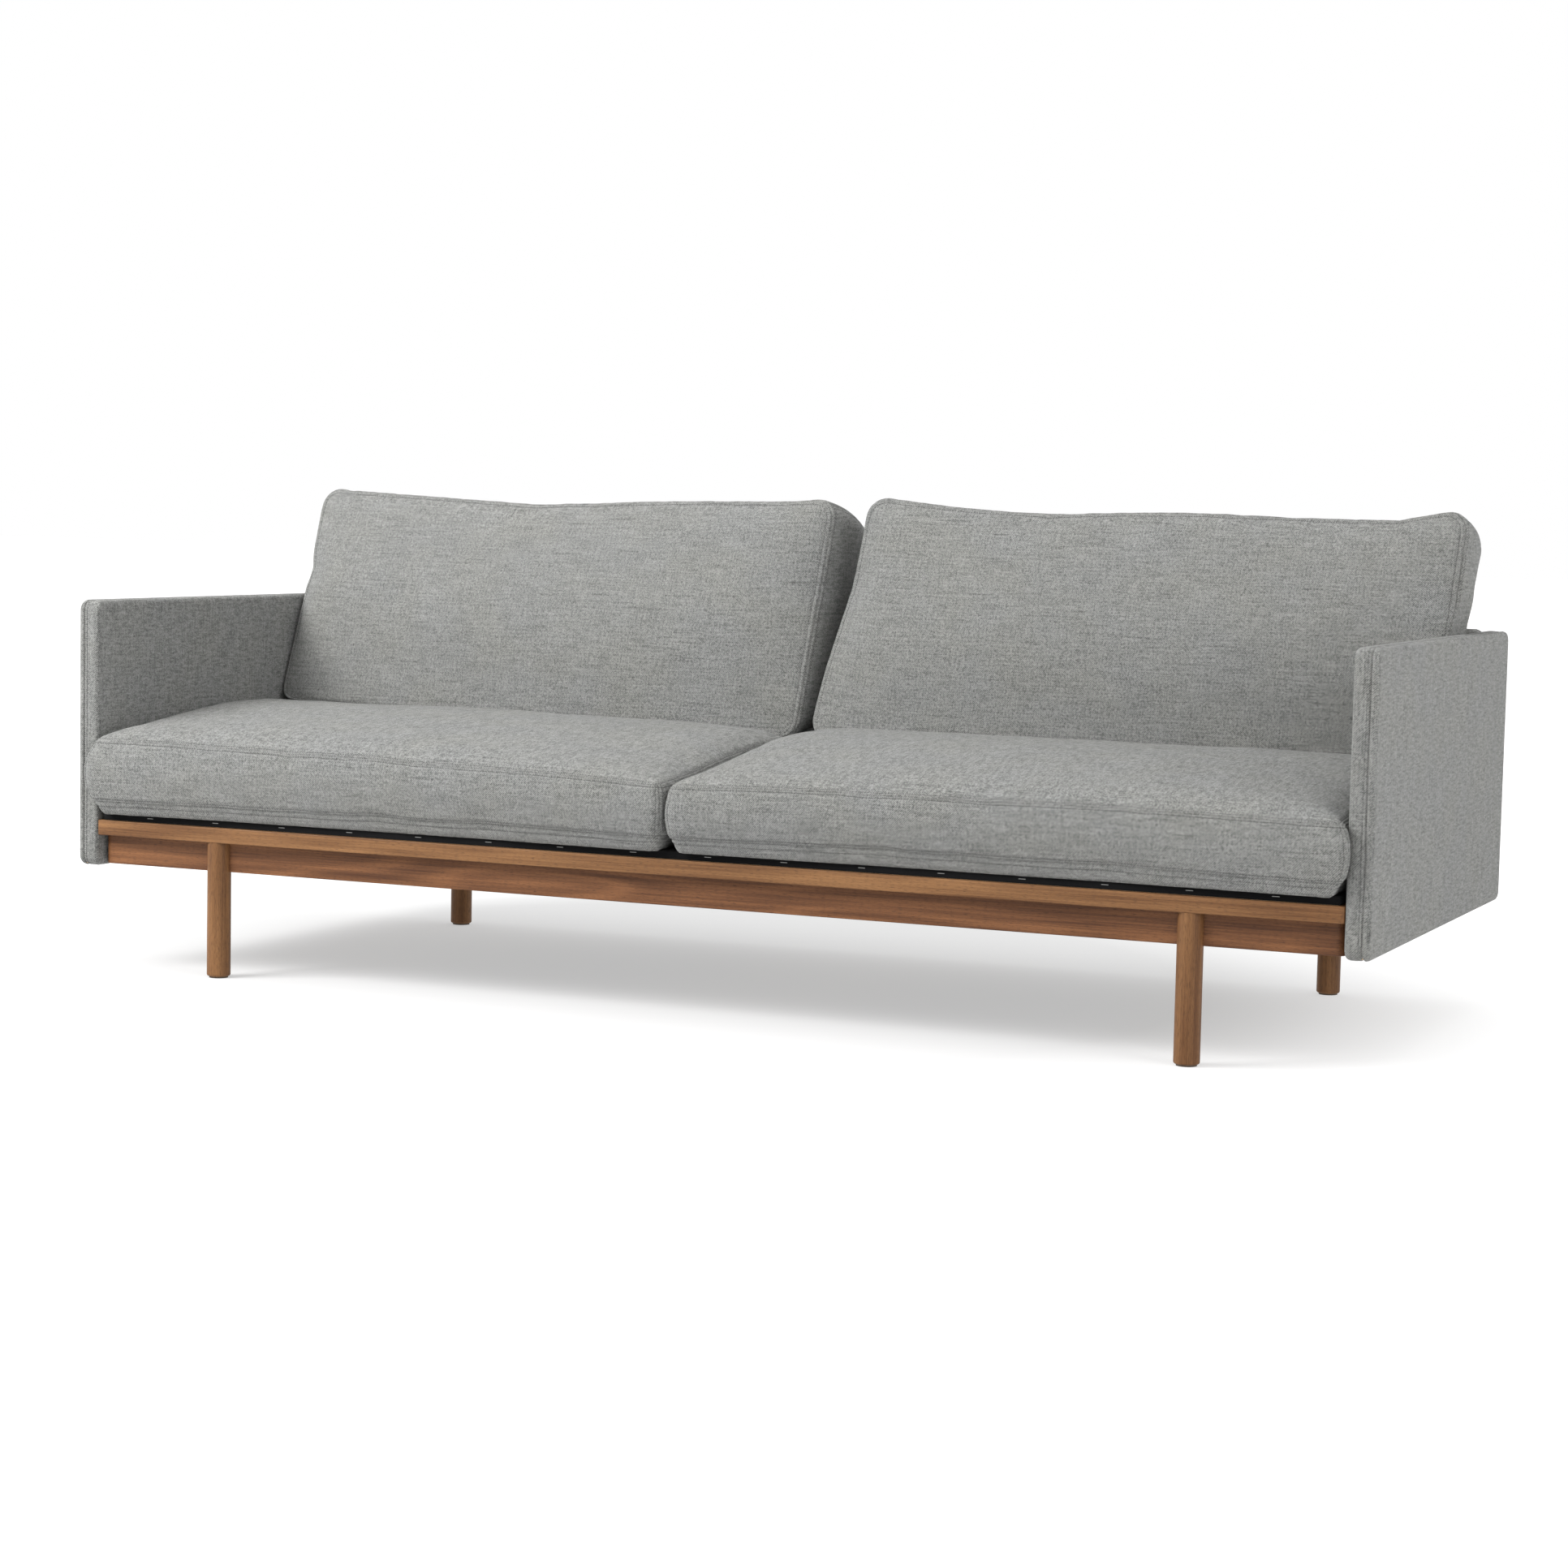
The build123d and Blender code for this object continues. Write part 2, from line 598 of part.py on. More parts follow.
def zip_slider(chain, face_axis, face, outward):
    """A channel-shaped slider over the low-X end of a chain that lies on a flat cover face."""
    box = chain.bounding_box()
    x = (box.min.X, box.min.X + SLIDER_LENGTH)
    across = box.center().Y if face_axis == "z" else box.center().Z
    near = face + outward * SLIDER_CLEARANCE
    body = (span(near, near + outward * SLIDER_THICK), SLIDER_WIDTH)
    groove = (span(near, near + outward * ZIP_THICK), ZIP_WIDTH + 2 * SLIDER_CLEARANCE)
    shapes = []
    for depth, width in (body, groove):
        wide = (across - width / 2, across + width / 2)
        shapes.append(block(x, wide, depth) if face_axis == "z" else block(x, depth, wide))
    return shapes[0] - shapes[1]


# ---- nodes ----


def build_frame():
    write("cap_rail_front", cap_rail_long((FRONT_Y, FRONT_Y + CAP_WIDTH)))
    write("cap_rail_rear", cap_rail_long((FRAME_REAR_Y - CAP_WIDTH, FRAME_REAR_Y)))
    write("apron_front", apron_long((APRON_FRONT_Y, APRON_INNER_FRONT_Y)))
    write("apron_rear", apron_rear())
    write("cross_rail_centre", cross_rail(0))
    write("corner_blocks", corner_blocks())
    write("frame_dowels", frame_dowels())
    write("leg_bolts", leg_bolts())
    write("leg_inserts", leg_inserts())
    for name, side in SIDES.items():
        write("cap_rail_" + name, cap_rail_side(side))
        write("apron_" + name, apron_side(side))
        write("cross_rail_" + name, cross_rail(side * CROSS_RAIL_X))
        for place, end in (("front", -1), ("rear", 1)):
            write("leg_" + place + "_" + name, leg(side, end))
            write("foot_glide_" + place + "_" + name, foot_glide(side, end))


def build_deck():
    write("deck_board_front", deck_board_long((DECK_Y[0], DECK_Y[0] + DECK_BOARD_WIDTH)))
    write("deck_board_rear", deck_board_long((DECK_Y[1] - DECK_BOARD_WIDTH, DECK_Y[1])))
    write("webbing_front_to_back", webbing_front_to_back())
    write("webbing_lengthwise", webbing_lengthwise())
    write("deck_cloth", deck_cloth())
    write("deck_staples", deck_staples())
    for name, side in SIDES.items():
        write("deck_board_" + name, deck_board_side(side))


def build_panels():
    write("back_panel_board", back_board())
    write("back_panel_cover", back_panel_cover())
    write("back_mount_blocks", back_mount_blocks())
    write("panel_inserts", arm_inserts() + back_inserts())
    write("panel_bolts", arm_bolts() + back_bolts())
    write("arm_spacers", arm_spacers())
    write("bracket_screws", bracket_screws())
    for name, side in SIDES.items():
        write("arm_board_" + name, arm_board(side))
        write("arm_cover_" + name, arm_cover(side))
        write("corner_bracket_" + name, corner_bracket(side))


def build_cushions():
    for name, side in SIDES.items():
        write("seat_cushion_cover_" + name, cover_of(seat_form, side))
        write("seat_cushion_core_" + name, seat_form(side, COVER_THICK))
        write("seat_zip_chain_" + name, seat_zip(side))
        write("seat_zip_slider_" + name, zip_slider(seat_zip(side), "y", SEAT_REAR_Y, 1))
        write("back_cushion_cover_" + name, cover_of(back_form, side))
        write("back_cushion_core_" + name, back_form(side, COVER_THICK))
        write("back_zip_chain_" + name, back_zip(side))
        write("back_zip_slider_" + name, zip_slider(back_zip(side), "z", BACK_BOTTOM, -1))


def main():
    os.makedirs("parts", exist_ok=True)
    build_frame()
    build_deck()
    build_panels()
    build_cushions()


main()
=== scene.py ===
import math

import bpy
import numpy as np
from mathutils import Matrix, Vector, noise


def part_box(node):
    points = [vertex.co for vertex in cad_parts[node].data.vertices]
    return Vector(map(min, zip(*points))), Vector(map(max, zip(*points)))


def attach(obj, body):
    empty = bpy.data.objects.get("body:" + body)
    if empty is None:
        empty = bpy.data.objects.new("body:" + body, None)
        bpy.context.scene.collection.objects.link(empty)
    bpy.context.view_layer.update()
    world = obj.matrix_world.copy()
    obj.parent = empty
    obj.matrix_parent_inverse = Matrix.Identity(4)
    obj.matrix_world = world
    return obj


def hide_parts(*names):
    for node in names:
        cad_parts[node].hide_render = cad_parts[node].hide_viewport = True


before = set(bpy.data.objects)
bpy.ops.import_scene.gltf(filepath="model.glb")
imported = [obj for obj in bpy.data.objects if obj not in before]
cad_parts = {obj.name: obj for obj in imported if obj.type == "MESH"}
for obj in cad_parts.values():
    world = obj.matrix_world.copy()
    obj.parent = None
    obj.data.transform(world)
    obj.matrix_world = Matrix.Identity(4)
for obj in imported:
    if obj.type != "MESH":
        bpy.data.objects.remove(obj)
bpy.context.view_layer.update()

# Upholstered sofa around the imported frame. Metres. +X to the right seen from the front,
# +Y towards the back, +Z up, the floor at z = 0.

BODY = "sofa_frame"
SIDES = {"left": -1, "right": 1}
MM = 0.001

# Camera at the front, to the right of the sofa, just above its back
CAMERA_PLACE = (2.1877, -4.9623, 0.7994)
CAMERA_YAW = 23.76
CAMERA_PITCH = 4.87
CAMERA_ROLL = 1.21
CAMERA_LENS = 75.255


def low(node):
    return Vector(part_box(node)[0])


def high(node):
    return Vector(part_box(node)[1])


# ---- shader helpers


class Shader:
    """A material and short calls that add and join its nodes."""

    def __init__(self, name):
        self.material = bpy.data.materials.new(name)
        self.material.use_nodes = True
        self.tree = self.material.node_tree
        self.bsdf = self.tree.nodes["Principled BSDF"]

    def node(self, kind, **settings):
        made = self.tree.nodes.new(kind)
        for key, value in settings.items():
            setattr(made, key, value)
        return made

    def feed(self, socket, value):
        if isinstance(value, bpy.types.NodeSocket):
            self.tree.links.new(value, socket)
        else:
            socket.default_value = value

    def math(self, operation, a, b=0.0, c=0.0, clamp=False):
        """One arithmetic node; a, b and c are sockets or plain numbers."""
        made = self.node("ShaderNodeMath", operation=operation, use_clamp=clamp)
        for socket, value in zip(made.inputs, (a, b, c)):
            self.feed(socket, value)
        return made.outputs[0]

    def mix(self, factor, a, b, kind="FLOAT", first=2, result=0):
        """a where factor is 0 and b where it is 1, for plain numbers."""
        made = self.node("ShaderNodeMix", data_type=kind)
        for place, value in ((0, factor), (first, a), (first + 1, b)):
            self.feed(made.inputs[place], value)
        return made.outputs[result]

    def mix_colour(self, factor, a, b):
        return self.mix(factor, a, b, "RGBA", 6, 2)

    def split(self, output):
        """The x, y and z of one of the object's own coordinates."""
        made = self.node("ShaderNodeSeparateXYZ")
        self.feed(made.inputs[0], self.node("ShaderNodeTexCoord").outputs[output])
        return made.outputs

    def place(self):
        return self.split("Object")

    def facing(self):
        """How much the surface faces each axis, either way."""
        return [self.math("ABSOLUTE", axis) for axis in self.split("Normal")]

    def vector(self, x, y, z):
        made = self.node("ShaderNodeCombineXYZ")
        for socket, value in zip(made.inputs, (x, y, z)):
            self.feed(socket, value)
        return made.outputs[0]

    def noise(self, vector, scale=1.0, detail=2.0, roughness=0.5, distortion=0.0):
        made = self.node("ShaderNodeTexNoise")
        for socket, value in (("Vector", vector), ("Scale", scale), ("Detail", detail),
                              ("Roughness", roughness), ("Distortion", distortion)):
            self.feed(made.inputs[socket], value)
        return made.outputs["Fac"]

    def grain(self, axes, scales, detail=2.0, roughness=0.5, distortion=0.0):
        """Noise that is stretched along each axis by its own scale."""
        point = [self.math("MULTIPLY", axis, scale) for axis, scale in zip(axes, scales)]
        return self.noise(self.vector(*point), 1.0, detail, roughness, distortion)

    def nudge(self, tone, value, middle, gain, clamp=False):
        """tone, moved by gain times value's distance from its middle."""
        return self.math("MULTIPLY_ADD", self.math("SUBTRACT", value, middle), gain, tone, clamp)

    def range(self, value, low_in, high_in, low_out=0.0, high_out=1.0):
        made = self.node("ShaderNodeMapRange")
        for socket, number in zip(made.inputs, (value, low_in, high_in, low_out, high_out)):
            self.feed(socket, number)
        return made.outputs[0]

    def bump(self, height, distance, strength=1.0, under=None):
        made = self.node("ShaderNodeBump")
        made.inputs["Distance"].default_value = distance
        made.inputs["Strength"].default_value = strength
        self.feed(made.inputs["Height"], height)
        if under is not None:
            self.feed(made.inputs["Normal"], under)
        return made.outputs[0]

    def finish(self, colour, roughness, normal=None, **sockets):
        self.feed(self.bsdf.inputs["Base Color"], colour)
        self.feed(self.bsdf.inputs["Roughness"], roughness)
        if normal is not None:
            self.feed(self.bsdf.inputs["Normal"], normal)
        for name, value in sockets.items():
            self.bsdf.inputs[name.replace("_", " ")].default_value = value
        return self.material


# ---- materials

THREAD = 0.85 * MM  # pitch of the yarns
TWILL_REPEAT = 4.0  # yarns in one repeat of the two-over two-under twill
YARN_WOBBLE = 2.4  # in yarns, over WOBBLE_SCALE waves a metre
WOBBLE_SCALE = 60.0
YARN_STEP = 3.7  # moves the noise on from one yarn to the next
YARN_DRIFT = 0.12  # and along a yarn, for each thread pitch


def twill(name, light, dark, slub_up=False):
    """Melange twill: two-over two-under yarns with slubs, chosen by the way the surface faces."""
    s = Shader(name)
    x, y, z = s.place()
    nx, ny, nz = s.facing()
    side_on = s.math("GREATER_THAN", nx, s.math("MAXIMUM", ny, nz))
    flat = s.math("GREATER_THAN", nz, s.math("MAXIMUM", nx, ny))
    across, along = s.mix(side_on, x, y), s.mix(flat, z, y)
    wobble = s.math("MULTIPLY", s.noise(s.vector(x, y, z), WOBBLE_SCALE, 1.0), YARN_WOBBLE)
    u = s.math("MULTIPLY_ADD", across, 1 / THREAD, wobble)
    v = s.math("MULTIPLY_ADD", along, 1 / THREAD, wobble)
    column, row = s.math("FLOOR", u), s.math("FLOOR", v)
    step = s.math("FLOORED_MODULO", s.math("SUBTRACT", column, row), TWILL_REPEAT)
    warp_up = s.math("LESS_THAN", step, TWILL_REPEAT / 2)
    warp_run = s.math("FLOORED_MODULO", s.math("ADD", s.math("SUBTRACT", v, column), 1.0), TWILL_REPEAT)
    weft_run = s.math("SUBTRACT", s.math("FLOORED_MODULO", s.math("SUBTRACT", u, row), TWILL_REPEAT), 2.0)
    run = s.mix(warp_up, weft_run, warp_run)
    across_yarn = s.mix(warp_up, s.math("FRACT", v), s.math("FRACT", u))
    float_arch = s.math("SINE", s.math("MULTIPLY", run, math.pi / 2))
    yarn_arch = s.math("SINE", s.math("MULTIPLY", across_yarn, math.pi))
    height = s.math("MULTIPLY", float_arch, yarn_arch)
    yarn_x = s.mix(warp_up, s.math("MULTIPLY", u, YARN_DRIFT), s.math("MULTIPLY", column, YARN_STEP))
    yarn_y = s.mix(warp_up, s.math("MULTIPLY", row, YARN_STEP), s.math("MULTIPLY", v, YARN_DRIFT))
    yarn_tone = s.noise(s.vector(yarn_x, yarn_y, 0.0), 1.0, 2.0, 0.7)
    long_way, short_way = (along, across) if slub_up else (across, along)
    slub = s.grain((long_way, short_way, 3.0), (14.0, 300.0, 1.0), 2.0, 0.6)
    dark_slub = s.range(s.grain((long_way, short_way, 6.0), (11.0, 210.0, 1.0), 1.0), 0.62, 0.72)
    slub_fine = s.grain((short_way, long_way, 9.0), (26.0, 400.0, 1.0), 2.0, 0.6)
    fleck = s.noise(s.vector(x, y, z), 380.0, 1.0, 0.7)
    melange = s.grain((x, y, z), (160.0, 46.0, 230.0), 2.0, 0.7)
    melange = s.mix(s.math("MAXIMUM", side_on, flat), 0.5, melange)
    tone = 0.53
    for part, middle, gain in ((yarn_tone, 0.5, 1.1), (melange, 0.5, 1.25), (slub, 0.5, 0.70),
                               (slub_fine, 0.5, 0.60), (dark_slub, 0.0, -0.16), (fleck, 0.5, 1.6),
                               (warp_up, 0.5, 0.50)):
        tone = s.nudge(tone, part, middle, gain)
    # The yarns' arches lighter and the weave's hollows darker: painted highlight and painted shade on the
    # weave's relief
    tone = s.nudge(tone, height, 0.4, 0.45, clamp=True)
    warm = s.noise(s.vector(x, y, z), 9.0, 2.0)
    warm_dark = (dark[0] * 1.04, dark[1] * 1.02, dark[2] * 0.93, 1)
    warm_light = (light[0] * 1.03, light[1] * 1.01, light[2] * 0.93, 1)
    colour = s.mix_colour(s.range(warm, 0.35, 0.65, 0.0, 0.35), s.mix_colour(tone, (*dark, 1), (*light, 1)),
                          s.mix_colour(tone, warm_dark, warm_light))
    fuzz = s.bump(fleck, 0.35 * MM, 0.5)
    normal = s.bump(height, 0.5 * MM, 0.9, fuzz)
    normal = s.bump(slub, 0.5 * MM, 0.4, normal)
    return s.finish(colour, 0.93, normal, Sheen_Weight=0.18, Sheen_Roughness=0.45,
                    Specular_IOR_Level=0.12)


def wood(name, grain, light, dark, figure, seed, roughness):
    """Oiled wood with growth rings, fibre streaks and open pores; grain is the axis it runs along."""
    s = Shader(name)
    parts = s.place()
    along, across, through = (parts[i] for i in {"x": (0, 1, 2), "y": (1, 0, 2), "z": (2, 0, 1)}[grain])
    axes = (s.math("ADD", along, seed), across, through)
    broad = s.grain(axes, (1.5, 11.0, 11.0), 1.5, 0.4, 0.3)
    ring = s.math("SINE", s.math("MULTIPLY", broad, 62.0 * figure))
    ring = s.math("POWER", s.range(ring, -1.0, 1.0), 1.6)
    fibre = s.grain(axes, (7.0, 620.0, 620.0), 3.0, 0.6)
    streak = s.grain(axes, (2.4, 110.0, 110.0), 3.0, 0.6)
    pores = s.range(s.grain(axes, (95.0, 2100.0, 2100.0)), 0.56, 0.66)
    patch = s.grain(axes, (3.0, 6.0, 6.0))
    tone = s.nudge(0.50, ring, 0.4, 0.34)
    tone = s.nudge(tone, fibre, 0.5, 1.1)
    tone = s.nudge(tone, streak, 0.5, 1.3)
    tone = s.nudge(tone, patch, 0.5, 0.5, clamp=True)
    colour = s.mix_colour(tone, (*dark, 1), (*light, 1))
    pore_colour = tuple(channel * 0.42 for channel in dark)
    colour = s.mix_colour(s.math("MULTIPLY", pores, 0.7), colour, (*pore_colour, 1))
    shine = s.range(fibre, 0.3, 0.7, roughness - 0.06, roughness + 0.08)
    normal = s.bump(s.math("SUBTRACT", fibre, pores), 0.12 * MM, 0.6)
    return s.finish(colour, shine, normal, Specular_IOR_Level=0.22)


def plain_cloth(name, colour, weave, depth):
    """A fine plain-woven or felted cloth, or foam."""
    s = Shader(name)
    x, y, z = s.place()
    warp = s.math("SINE", s.math("MULTIPLY", x, weave * 6.0))
    weft = s.math("SINE", s.math("MULTIPLY", s.math("ADD", y, z), weave * 6.0))
    height = s.math("MULTIPLY", warp, weft)
    fleck = s.noise(s.vector(x, y, z), 300.0, 3.0, 0.7)
    dim = tuple(channel * 0.6 for channel in colour)
    bright = tuple(min(channel * 1.5, 1.0) for channel in colour)
    tinted = s.mix_colour(fleck, (*dim, 1), (*bright, 1))
    normal = s.bump(s.math("ADD", height, fleck), depth, 0.7)
    return s.finish(tinted, 0.9, normal, Sheen_Weight=0.05, Specular_IOR_Level=0.15)


def metal(name, colour, roughness):
    """Zinc-plated or painted metal with faint brushing and handling marks."""
    s = Shader(name)
    x, y, z = s.place()
    brushed = s.grain((x, y, z), (900.0, 900.0, 120.0))
    marks = s.noise(s.vector(x, y, z), 240.0, 3.0)
    tinted = s.mix_colour(marks, (*(c * 0.82 for c in colour), 1), (*colour, 1))
    shine = s.range(brushed, 0.3, 0.7, roughness - 0.08, roughness + 0.1)
    return s.finish(tinted, shine, s.bump(brushed, 0.02 * MM, 0.4), Metallic=1.0)


def moulded(name, colour, roughness):
    """Moulded plastic with a fine orange-peel surface."""
    s = Shader(name)
    x, y, z = s.place()
    peel = s.noise(s.vector(x, y, z), 1400.0, 2.0)
    cloud = s.noise(s.vector(x, y, z), 40.0, 2.0)
    tinted = s.mix_colour(cloud, (*(c * 0.9 for c in colour), 1), (*colour, 1))
    return s.finish(tinted, s.range(peel, 0.3, 0.7, roughness - 0.05, roughness + 0.08),
                    s.bump(peel, 0.03 * MM, 0.5))


def plywood(name, light, dark):
    """Birch plywood: faint face grain, and plies that show on its edges as bands."""
    s = Shader(name)
    x, y, z = s.place()
    nx, ny, nz = s.facing()
    face = s.math("MAXIMUM", nx, s.math("MAXIMUM", ny, nz))
    grain = s.grain((x, y, z), (5.0, 160.0, 160.0), 3.0)
    through = s.math("ADD", s.math("ADD", x, y), z)
    plies = s.math("SINE", s.math("MULTIPLY", through, 2 * math.pi / (3.0 * MM)))
    tone = s.math("MULTIPLY_ADD", s.math("MULTIPLY", plies, s.math("SUBTRACT", 1.0, face)), 0.4, grain)
    colour = s.mix_colour(tone, (*dark, 1), (*light, 1))
    return s.finish(colour, 0.62, s.bump(grain, 0.1 * MM, 0.4))


GREY_LIGHT = (0.300, 0.303, 0.294)
GREY_DARK = (0.052, 0.054, 0.052)
OAK_LIGHT = (0.235, 0.115, 0.045)
OAK_DARK = (0.090, 0.036, 0.012)
APRON_LIGHT = (0.200, 0.084, 0.033)
APRON_DARK = (0.062, 0.022, 0.008)
PINE_LIGHT = (0.66, 0.47, 0.27)
PINE_DARK = (0.44, 0.27, 0.13)


# Name, axis of the grain, light and dark colours, figure, seed and roughness
WOODS = {
    "oak_x": ("oak_along_x", "x", OAK_LIGHT, OAK_DARK, 0.55, 0.4, 0.48),
    "oak_y": ("oak_along_y", "y", OAK_LIGHT, OAK_DARK, 0.55, 1.7, 0.48),
    "apron_x": ("apron_oak_along_x", "x", APRON_LIGHT, APRON_DARK, 0.7, 2.3, 0.48),
    "apron_y": ("apron_oak_along_y", "y", APRON_LIGHT, APRON_DARK, 0.7, 3.1, 0.48),
    "oak_z": ("leg_oak_upright", "z", OAK_LIGHT, OAK_DARK, 0.5, 5.0, 0.48),
    "pine_x": ("pine_along_x", "x", PINE_LIGHT, PINE_DARK, 0.4, 1.0, 0.6),
    "pine_y": ("pine_along_y", "y", PINE_LIGHT, PINE_DARK, 0.4, 4.0, 0.6),
}
# Name, colour, weave and depth of the weave
CLOTHS = {
    "thread": ("stitching_thread", (0.085, 0.085, 0.083), 1500.0, 0.1 * MM),
    "webbing": ("elastic_webbing", (0.045, 0.045, 0.048), 400.0, 0.6 * MM),
    "black_cloth": ("black_deck_cloth", (0.0025, 0.0025, 0.003), 1200.0, 0.15 * MM),
    "foam": ("foam", (0.74, 0.70, 0.55), 220.0, 0.8 * MM),
    "felt": ("felt", (0.11, 0.085, 0.065), 700.0, 0.5 * MM),
}


def make_materials():
    made = {key: wood(*values) for key, values in WOODS.items()}
    made |= {key: plain_cloth(*values) for key, values in CLOTHS.items()}
    return made | {
        "twill": twill("grey_twill", GREY_LIGHT, GREY_DARK),
        "twill_upright": twill("grey_twill_upright", GREY_LIGHT, GREY_DARK, slub_up=True),
        "plywood": plywood("birch_plywood", (0.64, 0.49, 0.32), (0.42, 0.29, 0.17)),
        "zinc": metal("zinc_plated_steel", (0.66, 0.66, 0.65), 0.32),
        "staple": metal("galvanised_wire", (0.30, 0.30, 0.29), 0.5),
        "slider": metal("painted_slider", (0.20, 0.205, 0.21), 0.45),
        "nylon": moulded("nylon", (0.72, 0.72, 0.70), 0.5),
        "zip": moulded("zip_coil", (0.22, 0.225, 0.225), 0.55),
    }


# ---- padded forms


def ramp(value, start, end):
    """A smooth step from 0 at start to 1 at end."""
    t = np.clip((value - start) / (end - start), 0.0, 1.0)
    return t * t * (3 - 2 * t)


def resample(grid, places, axis, wrap=False):
    """Catmull-Rom values of a grid at fractional indices along one axis."""
    grid = np.moveaxis(grid, axis, 0)
    count = grid.shape[0]
    base = np.floor(places).astype(int)
    if not wrap:
        base = np.minimum(base, count - 2)
    t = (places - base).reshape((-1,) + (1,) * (grid.ndim - 1))

    def at(index):
        if wrap:
            return grid[index % count]
        column = index.reshape((-1,) + (1,) * (grid.ndim - 1))
        value = grid[np.clip(index, 0, count - 1)]
        value = np.where(column < 0, 2 * grid[0] - grid[1], value)
        return np.where(column > count - 1, 2 * grid[-1] - grid[-2], value)

    p0, p1, p2, p3 = at(base - 1), at(base), at(base + 1), at(base + 2)
    made = 0.5 * (2 * p1 + (p2 - p0) * t + (2 * p0 - 5 * p1 + 4 * p2 - p3) * t ** 2
                  + (3 * p1 - p0 - 3 * p2 + p3) * t ** 3)
    return np.moveaxis(made, 0, axis)


def field(points, scale, seed):
    """Smooth noise from -1 to 1 at each point."""
    flat = points.reshape(-1, 3) * scale
    values = [noise.noise((p[0] + seed, p[1] - seed, p[2] + 2 * seed)) for p in flat]
    return np.array(values).reshape(points.shape[:-1])


def grid_normals(grid, wrap=False):
    """Unit normals of a grid of points, from its own tangents."""
    if wrap:
        du = np.roll(grid, -1, 0) - np.roll(grid, 1, 0)
    else:
        du = np.gradient(grid, axis=0)
    dv = np.gradient(grid, axis=1)
    normal = np.cross(du, dv)
    return normal / np.maximum(np.linalg.norm(normal, axis=-1, keepdims=True), 1e-12)


def grid_quads(index):
    """The four corners of every cell of a grid of vertex numbers."""
    return np.stack([index[:-1, :-1], index[1:, :-1], index[1:, 1:], index[:-1, 1:]], -1).reshape(-1, 4)


def travel_along(line):
    """Distances along a line of points, from 0 at its start."""
    return np.concatenate([[0], np.cumsum(np.linalg.norm(np.diff(line, axis=0), axis=1))])


def make_object(name, points, faces, material=None, smooth=True):
    mesh = bpy.data.meshes.new(name)
    mesh.from_pydata(np.asarray(points).tolist(), [], [list(map(int, face)) for face in faces])
    mesh.update()
    mesh.polygons.foreach_set("use_smooth", [smooth] * len(mesh.polygons))
    if material is not None:
        mesh.materials.append(material)
    obj = bpy.data.objects.new(name, mesh)
    bpy.context.collection.objects.link(obj)
    return obj


def inset_in(size, corner, u, v):
    """How far a flat point lies inside the edge of a rectangle with round corners."""
    du = np.abs(u) - (size[0] / 2 - corner)
    dv = np.abs(v) - (size[1] / 2 - corner)
    beyond = np.hypot(np.maximum(du, 0), np.maximum(dv, 0))
    return corner - beyond - np.minimum(np.maximum(du, dv), 0)


# Distances from a seam of the grid rows that carry its relief
SEAM_ROWS = [step * MM for step in (0.0, 1.2, 2.4, 3.8, 5.2, 6.6, 8.2, 10.0, 12.5, 16.0)]
CLOTH_FRAMES = 20
CLOTH_STIFFNESS = 15.0


